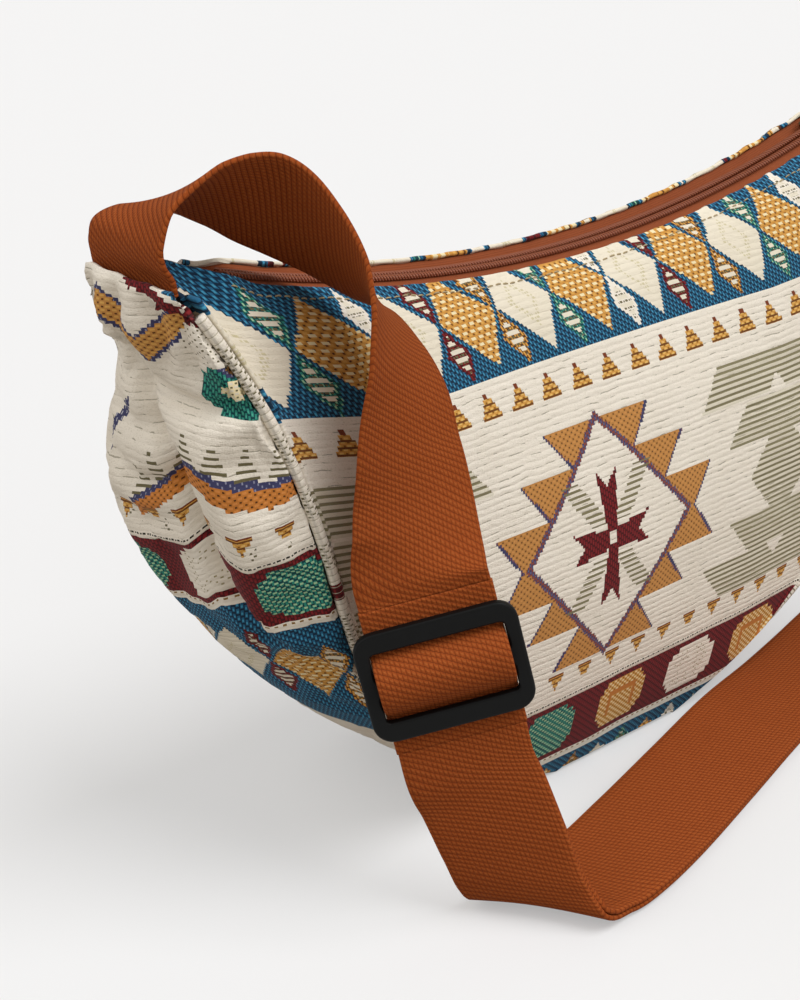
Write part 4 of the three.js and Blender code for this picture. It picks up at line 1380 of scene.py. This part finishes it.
def curve_through(points, share, parameter):
    """A Catmull-Rom curve through points, at shares of it; the parameter spaces its knots."""
    points = np.asarray(points, float)
    last = len(points) - 1
    place = np.clip(share, 0, 1) * last
    index = np.minimum(place.astype(int), last - 1)
    weight = place - index
    padded = np.concatenate([[2 * points[0] - points[1]], points, [2 * points[-1] - points[-2]]])
    p0, p1, p2, p3 = (padded[index + step] for step in range(4))

    def span(a, b):
        gap = np.linalg.norm(b - a, axis=1, keepdims=True) ** parameter
        return np.maximum(gap, 1e-4)

    d0, d1, d2 = span(p0, p1), span(p1, p2), span(p2, p3)
    t1 = ((p1 - p0) / d0 - (p2 - p0) / (d0 + d1) + (p2 - p1) / d1) * d1
    t2 = ((p2 - p1) / d1 - (p3 - p1) / (d1 + d2) + (p3 - p2) / d2) * d1
    if parameter == 0:
        t1, t2 = (p2 - p0) / 2, (p3 - p1) / 2
    w = weight[:, None]
    c2 = -3 * p1 + 3 * p2 - 2 * t1 - t2
    c3 = 2 * p1 - 2 * p2 + t1 + t2
    return p1 + t1 * w + c2 * w ** 2 + c3 * w ** 3


EDGE_POINTS = 15


def webbing_section():
    """Outline of the webbing: flat faces and round edges, as across and out."""
    half = STRAP_WIDTH / 2
    thick = STRAP_THICK / 2
    flat = np.linspace(-half + thick * 0.7, half - thick * 0.7, EDGE_POINTS)
    top = [(a, thick) for a in flat]
    right = [(half - 0.1 * thick, thick * 0.62), (half, 0), (half - 0.1 * thick, -thick * 0.62)]
    low = [(a, -thick) for a in flat[::-1]]
    left = [(-half + 0.1 * thick, -thick * 0.62), (-half, 0), (-half + 0.1 * thick, thick * 0.62)]
    return np.array(top + right + low + left)


print("adjuster at", ADJUSTER.round(1).tolist(), "mm")


# %% Ribbons
class Ribbon:
    """A strip of webbing along stations, each with a middle point and the direction across it."""

    def __init__(self, stations, steps, offset=0.0, start=0.0, hand=1, passed=0.0, slanted=0.0):
        points = [station[0] for station in stations]
        sides = [station[1] for station in stations]
        share = np.linspace(start, 1, steps + 1)
        middle = curve_through(points, share, 0.5)
        ahead = curve_through(points, np.minimum(share + 5e-4, 1), 0.5)
        behind = curve_through(points, np.maximum(share - 5e-4, 0), 0.5)
        self.along = unit(ahead - behind)
        side = unit(curve_through(sides, share, 0))
        slant = np.sum(side * self.along, axis=1, keepdims=True)
        square = unit(side - slant * self.along)
        self.slant = slanted * slant / np.sqrt(1 - slant ** 2)
        self.side = square + self.slant * self.along
        self.face = np.cross(self.along, square)
        self.middle = middle + self.face * offset
        self.run = passed + lengths(self.middle[None], 1)[0]
        self.hand = hand

    def piece(self, name, first=0, last=None, laid=False, swell=1.0):
        rows = slice(first, None if last is None else last + 1)
        section = webbing_section()
        rings = (
            self.middle[rows, None]
            + section[None, :, :1] * swell * self.side[rows, None]
            + section[None, :, 1:] * self.face[rows, None]
        )
        run = self.run[rows]
        along = run[:, None] + section[None, :, 0] * self.slant[rows]
        flat = np.stack(np.broadcast_arrays(section[None, :, 0] * self.hand, along), axis=-1)
        made = rings_to_object(name, rings, flat, WEBBING)
        length = float(run[-1] - run[0])
        return made


def station(x, y, z, side_x, side_y, side_z):
    return np.array([x, y, z]) * HUNDREDTHS, np.array([side_x, side_y, side_z])


def at_adjuster(down, out, turned=1):
    return ADJUSTER + STRAP_DOWN * down + STRAP_FACE * out, STRAP_ACROSS * turned


def from_root(x, z, turn):
    return np.array([-ROOT_X + x, 0, END_HEIGHT + z]), np.array([turn, -1.0, 0])


def in_seat(route):
    """Stations of a ribbon in the adjuster's plane, from heights on the strap and distances out."""
    return [(ADJUSTER - STRAP_DOWN * y + STRAP_FACE * z, STRAP_ACROSS) for y, z in route]


def in_plane(route):
    return [(np.array([x, 0.0, z]), np.array([0.0, -1.0, 0.0])) for x, z in route]


print("webbing:", STRAP_WIDTH, "x", STRAP_THICK, "mm,", len(webbing_section()), "points round it")

# %% [markdown]
# ## Strap arch
# From the sewn end the strap rises, rolls over and drops to the adjuster. The stations were
# traced from its two edges in the photograph.

# %% Strap arch
arch = Ribbon([
    from_root(0, -3, 0),
    from_root(-0.8, 1.3, 0),
    from_root(-2.4, 6, -0.06),
    from_root(-2, 10.8, -0.12),
    station(-47.33, -0.64, 108.12, -0.19, -0.96, 0.21),
    station(-44.89, -2.13, 109.47, -0.22, -0.90, 0.37),
    station(-42.56, -4.04, 109.76, -0.20, -0.81, 0.55),
    station(-40.42, -6.6, 109.18, -0.13, -0.72, 0.68),
    station(-38.33, -10.64, 107.83, -0.03, -0.65, 0.76),
    station(-36.56, -16.38, 105.6, -0.06, -0.67, 0.74),
    station(-34.78, -26.17, 101.64, -0.24, -0.73, 0.64),
    station(-33.56, -35.96, 97.25, -0.45, -0.72, 0.52),
    station(-32.75, -44.68, 92.75, -0.73, -0.61, 0.33),
    station(-32.70, -51.2, 87.2, -0.885, -0.43, 0.18),
    station(-32.89, -55.64, 80.92, -0.98, -0.17, 0.13),
    station(-33.32, -59.04, 74.54, -0.995, 0, 0.10),
    station(-33.63, -62.24, 68.16, -0.985, 0.175, 0.01),
    station(-34.31, -66.8, 62.6, -0.945, 0.31, -0.10),
    at_adjuster(-REACH - 6, -BEHIND_FRAME, -1),
    at_adjuster(-REACH - 0.02, -BEHIND_FRAME, -1),
], 190)
strap_arch = arch.piece("strap_arch_webbing")
print("arch:", round(arch.run[-1]), "mm long")
report(strap_arch)

# %% [markdown]
# ## Strap runs
# Below the adjuster the strap lies double: one layer goes on to the ring, and the other comes
# back from it. Both follow the same stations, the inner one a layer's pitch away. Each run is cut
# into a drop, a floor stretch and a rise, and only the floor stretch rides the bag.

# %% Strap runs
RING_BAR = 4
RING_TURN = RING_BAR * 0.6 + LAYER_GAP + STRAP_THICK / 2
RING_HINGE = np.array([190.0, 0, 213.5])
RING_HANG = unit(np.array([0.23, 0, -0.97]))
RING_LOW = RING_HINGE + RING_HANG * 19
RUN_END = np.array([RING_LOW[0] + RING_TURN, 0, RING_LOW[2] - 23])
FRONT = np.array([0.0, -1.0, 0.0])
run_stations = [
    at_adjuster(REACH + 0.02, -BEHIND_FRAME),
    at_adjuster(36, -BEHIND_FRAME),
    station(-31.25, -87.23, 21.26, 0.72, -0.66, 0.20),
    station(-30.0, -92.3, 13.04, 0.66, -0.74, 0.10),
    station(-28.95, -96.0, 6.6, 0.60, -0.80, 0.02),
    station(-27.75, -98.1, 3.1, 0.56, -0.83, 0),
    station(-25.7, -98.9, 1.5, 0.50, -0.865, 0),
    station(-22.6, -98.3, 1.1, 0.40, -0.915, -0.01),
    station(-18.33, -97.66, 1.45, 0.29, -0.955, -0.06),
    station(-11.39, -92.13, 1.69, 0.243, -0.965, -0.12),
    station(0, -80.32, 1.69, 0.243, -0.965, -0.12),
    station(11.67, -67.55, 1.45, 0.25, -0.965, -0.10),
    station(22.22, -57.45, 0.87, 0.25, -0.97, -0.02),
    station(33.33, -46.81, 0.72, 0.25, -0.97, 0),
    station(43.06, -36.7, 0.87, 0.27, -0.965, 0),
    station(50, -27.66, 2.9, 0.30, -0.95, 0),
    station(54.72, -19.15, 8.7, 0.20, -0.98, 0),
    station(56.94, -11.7, 19.32, 0.06, -1, 0),
    station(57.22, -5.32, 38.65, 0.02, -1, 0),
    station(56.39, -1.6, 62.8, 0, -1, 0),
    (RUN_END + RING_HANG * 11.5, FRONT),
    (RUN_END, FRONT),
]
RUN_SPANS = len(run_stations) - 1
print("stations of the runs:", len(run_stations))

# %% Runs in pieces
RUN_STEPS = 400
THREADING_LENGTH = 54.0
RULING_SLANT = 0.6
INNER_START = 6.9 / 11.7 / RUN_SPANS
outer_run = Ribbon(
    run_stations, RUN_STEPS, hand=-1, passed=arch.run[-1] + THREADING_LENGTH, slanted=RULING_SLANT
)
inner_run = Ribbon(
    run_stations, RUN_STEPS, -LAYER_PITCH, INNER_START, hand=-1, slanted=RULING_SLANT
)
LANDING_X = -84
LEAVING_X = 150


def split_run(ribbon, name):
    """The run in three pieces: down from the adjuster, along the floor, and up to the ring."""
    x = ribbon.middle[:, 0]
    landed = int(np.argmax(x > LANDING_X))
    leaving = int(np.argmax(x > LEAVING_X))
    return (
        ribbon.piece(f"{name}_drop_webbing", 0, landed),
        ribbon.piece(f"{name}_floor_webbing", landed, leaving, laid=True),
        ribbon.piece(f"{name}_rise_webbing", leaving),
    )


outer_pieces = split_run(outer_run, "outer_run")
inner_pieces = split_run(inner_run, "inner_run")
for run in (outer_run.run, inner_run.run):
    print("run:", round(run[-1] - run[0]), "mm long")
report(*outer_pieces, *inner_pieces)

# %% [markdown]
# ## Webbing round the bars
# The strap passes over the adjuster's middle bar, its end is stitched round the same bar, and it
# turns over the ring, which a tab of webbing holds to the bag. These are short ribbons in flat
# planes, so each is a list of places in its plane.

# %% Webbing round the adjuster's bar
BAR_HALF = 2.5
SLOT = 9
SLOT_EDGE = BAR_HALF + SLOT
OVER_BAR = BEHIND_FRAME
rise = [
    (REACH, -BEHIND_FRAME),
    (SLOT_EDGE + 3, -BEHIND_FRAME),
    (SLOT_EDGE - 0.4, -BEHIND_FRAME + 0.1),
    (SLOT_EDGE - 4.2, 0.9),
    (BAR_HALF + 1.6, OVER_BAR + LAYER_PITCH - 0.9),
    (0, OVER_BAR + LAYER_PITCH),
]
fall = [(-y, z) for y, z in rise[-2::-1]]
over_bar = Ribbon(in_seat(rise + fall), 90, hand=-1, passed=arch.run[-1])
threading = over_bar.piece("strap_threading_webbing", swell=1.02)

WRAP = BAR_HALF + 2 * LAYER_GAP + STRAP_THICK / 2
TAIL = -BEHIND_FRAME - LAYER_PITCH
STANDING = TAIL - LAYER_PITCH
stitched_end = Ribbon(in_seat([
    (-30, TAIL),
    (-26, TAIL - 0.7),
    (-20, STANDING),
    (-WRAP - 8, STANDING),
    (-WRAP - 2, STANDING + 1.8),
    (-WRAP + 1.4, -OVER_BAR - 0.6),
    (WRAP - 2, -OVER_BAR),
    (WRAP - 0.35, -OVER_BAR + 1.1),
    (WRAP, 0),
    (WRAP - 0.35, OVER_BAR - 1.1),
    (WRAP - 2, OVER_BAR),
    (-WRAP + 2, OVER_BAR),
    (-WRAP + 0.35, OVER_BAR - 1.1),
    (-WRAP - 0.2, 0),
    (-WRAP - 1.8, -2.4),
    (-WRAP - 5.2, TAIL + 0.2),
    (-WRAP - 9, TAIL),
    (-20, TAIL),
]), 120).piece("strap_stitched_webbing")
report(threading, stitched_end)

# %% Webbing round the ring
ring_tab = Ribbon(in_plane([
    (ROOT_X, END_HEIGHT - 3),
    (ROOT_X + 0.4, END_HEIGHT + 3),
    (ROOT_X + 4, RING_HINGE[2] + RING_TURN - 0.6),
    (RING_HINGE[0] - 5, RING_HINGE[2] + RING_TURN + 0.4),
    (RING_HINGE[0], RING_HINGE[2] + RING_TURN),
    (RING_HINGE[0] + RING_TURN * 0.75, RING_HINGE[2] + RING_TURN * 0.75),
    (RING_HINGE[0] + RING_TURN, RING_HINGE[2]),
    (RING_HINGE[0] + RING_TURN * 0.75, RING_HINGE[2] - RING_TURN * 0.75),
    (RING_HINGE[0], RING_HINGE[2] - RING_TURN),
    (RING_HINGE[0] - 5, RING_HINGE[2] - RING_TURN + 0.4),
    (ROOT_X + 4.6, RING_HINGE[2] - RING_TURN + 0.6),
]), 60).piece("ring_tab_webbing")
START = RUN_END[2] + LAYER_GAP
ring_turn = Ribbon(in_plane([
    (RUN_END[0], START),
    (RING_LOW[0] + RING_TURN + 0.6, START + 10),
    (RING_LOW[0] + RING_TURN + 0.2, RING_LOW[2] - 2),
    (RING_LOW[0] + RING_TURN * 0.75, RING_LOW[2] + RING_TURN * 0.75),
    (RING_LOW[0], RING_LOW[2] + RING_TURN),
    (RING_LOW[0] - RING_TURN * 0.75, RING_LOW[2] + RING_TURN * 0.75),
    (RING_LOW[0] - RING_TURN - 0.2, RING_LOW[2] - 2),
    (RING_LOW[0] - RING_TURN + 1.5, START + 10),
    (RUN_END[0] - LAYER_PITCH - 0.3, START),
]), 60).piece("ring_turn_webbing")
report(ring_tab, ring_turn)

# %% [markdown]
# ## Adjuster and ring
# The adjuster and the ring are flat plates of moulded plastic with slots. A cube with cuts and a
# Bevel modifier would do. A filled 2D curve is simpler here: its outlines are the plate and its
# slots, and the curve's own extrusion and bevel round every edge alike.


# %% Moulded plates
def rounded_outline(width, height, radius, middle=0.0):
    """Corner points of a rounded rectangle, nine to a corner."""
    points = []
    for corner_x, corner_y, first in ((1, -1, -90), (1, 1, 0), (-1, 1, 90), (-1, -1, 180)):
        for step in range(9):
            angle = math.radians(first + 90 * step / 8)
            points.append((
                corner_x * (width / 2 - radius) + radius * math.cos(angle),
                middle + corner_y * (height / 2 - radius) + radius * math.sin(angle),
            ))
    return points


def moulded_plate(name, outlines, thickness, edge, origin, axes):
    """A plate with round edges from an outline and its slots, set on axes across, up and out."""
    data = bpy.data.curves.new(name, "CURVE")
    data.dimensions = "2D"
    data.fill_mode = "BOTH"
    data.extrude = (thickness / 2 - edge) * MM
    data.bevel_depth = edge * MM
    data.bevel_resolution = 3
    data.offset = -edge * MM
    for outline in outlines:
        spline = data.splines.new("POLY")
        spline.points.add(len(outline) - 1)
        spline.use_cyclic_u = True
        for point, (x, y) in zip(spline.points, outline):
            point.co = (x * MM, y * MM, 0, 1)
    holder = bpy.data.objects.new(name, data)
    bpy.context.collection.objects.link(holder)
    evaluated = holder.evaluated_get(bpy.context.evaluated_depsgraph_get())
    mesh = bpy.data.meshes.new_from_object(evaluated)
    bpy.data.objects.remove(holder)
    flat = np.array([vertex.co[:] for vertex in mesh.vertices])
    placed = flat @ np.array(axes) + np.array(origin) * MM
    mesh.vertices.foreach_set("co", placed.astype(np.float32).ravel())
    mesh.update()
    mesh.shade_smooth()
    mesh.set_sharp_from_angle(angle=math.radians(50))
    mesh.materials.clear()
    mesh.materials.append(PLASTIC)
    mesh.name = name
    piece = bpy.data.objects.new(name, mesh)
    bpy.context.collection.objects.link(piece)
    return piece


adjuster = moulded_plate("adjuster_moulding", [
    rounded_outline(50, 36, 6.5),
    rounded_outline(41, SLOT, 1.5, BAR_HALF + SLOT / 2),
    rounded_outline(41, SLOT, 1.5, -BAR_HALF - SLOT / 2),
], ADJUSTER_THICK, 0.8, ADJUSTER, (STRAP_ACROSS, -STRAP_DOWN, STRAP_FACE))
ring_up = -RING_HANG
ring_across = np.array([0.0, 1.0, 0.0])
ring = moulded_plate("ring_moulding", [
    rounded_outline(49.6, 23, 4, -9.5),
    rounded_outline(41.6, 15, 1, -9.5),
], RING_BAR, 1.0, RING_HINGE, (ring_across, ring_up, np.cross(ring_across, ring_up)))
report(adjuster, ring)

# %% [markdown]
# ## Riding
# Every piece stands for its solid, and a rigid piece rides that solid's body. The strap bends,
# but its arch, its drops and its rises ride no body here; only its floor stretches ride the bag.
# The flat cloth of a panel and of the gusset is measured and printed.


# %% Riding
def area(grid):
    """Area of a grid of points in square metres."""
    a = grid[1:, 1:] - grid[:-1, :-1]
    b = grid[1:, :-1] - grid[:-1, 1:]
    return float(np.sum(np.linalg.norm(np.cross(a, b), axis=-1)) / 2) * MM * MM


def wear(piece, slot, body, *nodes):
    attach(piece, body)
    if nodes:
        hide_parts(*nodes)


PANEL_AREA = area(panel_grid(120, 40))
GUSSET_AREA = area(gusset_grid(120, 40)[1])
for piece, node in ((front_panel, "front_panel"), (back_panel, "back_panel")):
    wear(piece, "patterned_cloth", "bag", node)
wear(gusset, "patterned_cloth", "bag", "gusset")
for piece, node in ((front_piping, "front_piping"), (back_piping, "back_piping")):
    wear(piece, "patterned_cloth", "bag", node)
for piece, node in ((front_tape, "front_zip_tape"), (back_tape, "back_zip_tape")):
    wear(piece, "zip_tape", "bag", node)
for name, piece in coils.items():
    wear(piece, "nylon_coil", "bag", f"{name}_zip_coil")
for piece in stitches:
    wear(piece, "patterned_cloth", "bag")

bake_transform(strap_arch)
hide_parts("strap_arch")
for pieces, node in ((outer_pieces, "strap_outer_run"), (inner_pieces, "strap_inner_run")):
    drop, floor_piece, rise_piece = pieces
    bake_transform(drop)
    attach(floor_piece, "bag")
    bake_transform(rise_piece)
    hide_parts(node)
wear(threading, "webbing", "strap_adjuster", "strap_threading")
wear(stitched_end, "webbing", "strap_adjuster", "strap_stitched_end")
wear(adjuster, "black_plastic", "strap_adjuster", "strap_adjuster")
wear(ring_tab, "webbing", "bag", "ring_tab")
wear(ring_turn, "webbing", "strap_ring", "strap_ring_turn")
wear(ring, "black_plastic", "strap_ring", "strap_ring")
for node in ("zip_slider", "zip_pull"):
    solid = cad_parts[node]
    solid.data.materials.clear()
    solid.data.materials.append(METAL)
print("flat cloth of a panel:", round(PANEL_AREA, 4), "square metres")
print("flat cloth of the gusset:", round(GUSSET_AREA, 4), "square metres")

# %% [markdown]
# ## Floor
# The floor is a plain pale sheet, as in a studio. A lit floor alone is either greyer than the
# photograph's or too bright near the bag. So what the eye sees of it is partly its own pale
# colour and partly lit, which keeps the soft shadow, and the light that it throws back on the bag
# is duller.


# %% Floor
OWN_COLOUR_SHARE = 0.42
FLOOR_DROP = 0.0004
REACH_OUT = 12.0


def floor_look():
    """A pale floor: partly lit for rays that see it, duller for the light that it throws back."""
    look = Surface("pale_floor", "#E2E2E2", 0.9)
    tree = look.tree
    path = add_node(tree, "ShaderNodeLightPath")
    kinds = ("Camera", "Glossy", "Transmission")
    seen = [Field(tree, path.outputs[f"Is {kind} Ray"]) for kind in kinds]
    drift = (look.solid_noise(400.0) - 0.5) * 0.04
    look.lay(drift, "#D8D7D4")
    lit = add_node(tree, "ShaderNodeBsdfDiffuse", {"Color": look.colour})
    plain = add_node(tree, "ShaderNodeEmission", {"Color": linear("#F2F2F2"), "Strength": 1.0})
    shown = add_node(tree, "ShaderNodeMixShader", {
        0: OWN_COLOUR_SHARE,
        1: lit.outputs["BSDF"],
        2: plain.outputs["Emission"],
    })
    dull = add_node(tree, "ShaderNodeBsdfDiffuse", {"Color": linear("#9A948C")})
    either = add_node(tree, "ShaderNodeMixShader", {
        0: (seen[0] | seen[1] | seen[2]).socket,
        1: dull.outputs["BSDF"],
        2: shown.outputs["Shader"],
    })
    add_node(tree, "ShaderNodeOutputMaterial", {"Surface": either.outputs["Shader"]})
    return look.material


floor_mesh = bpy.data.meshes.new("floor")
corners = ((-1, -1), (1, -1), (1, 1), (-1, 1))
floor_mesh.from_pydata(
    [(x * REACH_OUT, y * REACH_OUT, -FLOOR_DROP) for x, y in corners], [], [(0, 1, 2, 3)]
)
floor_mesh.materials.append(floor_look())
floor_object = bpy.data.objects.new("floor", floor_mesh)
bpy.context.collection.objects.link(floor_object)
print("floor:", 2 * REACH_OUT, "metres wide")

# %% [markdown]
# ## Light
# A pale warm sky fills the shadows. The key light is a broad soft sun from the right and above, a
# weak fill comes from the front, and a soft light from the left shows the strap's arch. Area
# lamps would work too, but suns light the whole floor evenly.


# %% Light
def add_sun(name, energy, spread, colour, direction):
    data = bpy.data.lights.new(name, "SUN")
    data.energy = energy
    data.angle = math.radians(spread)
    data.color = colour
    lamp = bpy.data.objects.new(name, data)
    lamp.rotation_euler = Vector(direction).to_track_quat("Z", "Y").to_euler()
    bpy.context.collection.objects.link(lamp)


world = bpy.data.worlds.new("sky")
world.use_nodes = True
sky = world.node_tree.nodes["Background"]
sky.inputs["Color"].default_value = (1.0, 0.94, 0.87, 1.0)
sky.inputs["Strength"].default_value = 0.34
bpy.context.scene.world = world
add_sun("key_light", 1.9, 38, (0.99, 1.0, 1.02), (0.20, -0.42, 0.88))
add_sun("front_fill", 0.75, 80, (1.0, 0.99, 0.98), (0.05, -0.85, 0.52))
add_sun("side_light", 1.2, 60, (1.0, 1.0, 1.0), (-0.70, 0.35, 0.62))
print("lights:", ", ".join(lamp.name for lamp in bpy.data.lights))

# %% [markdown]
# ## Finish
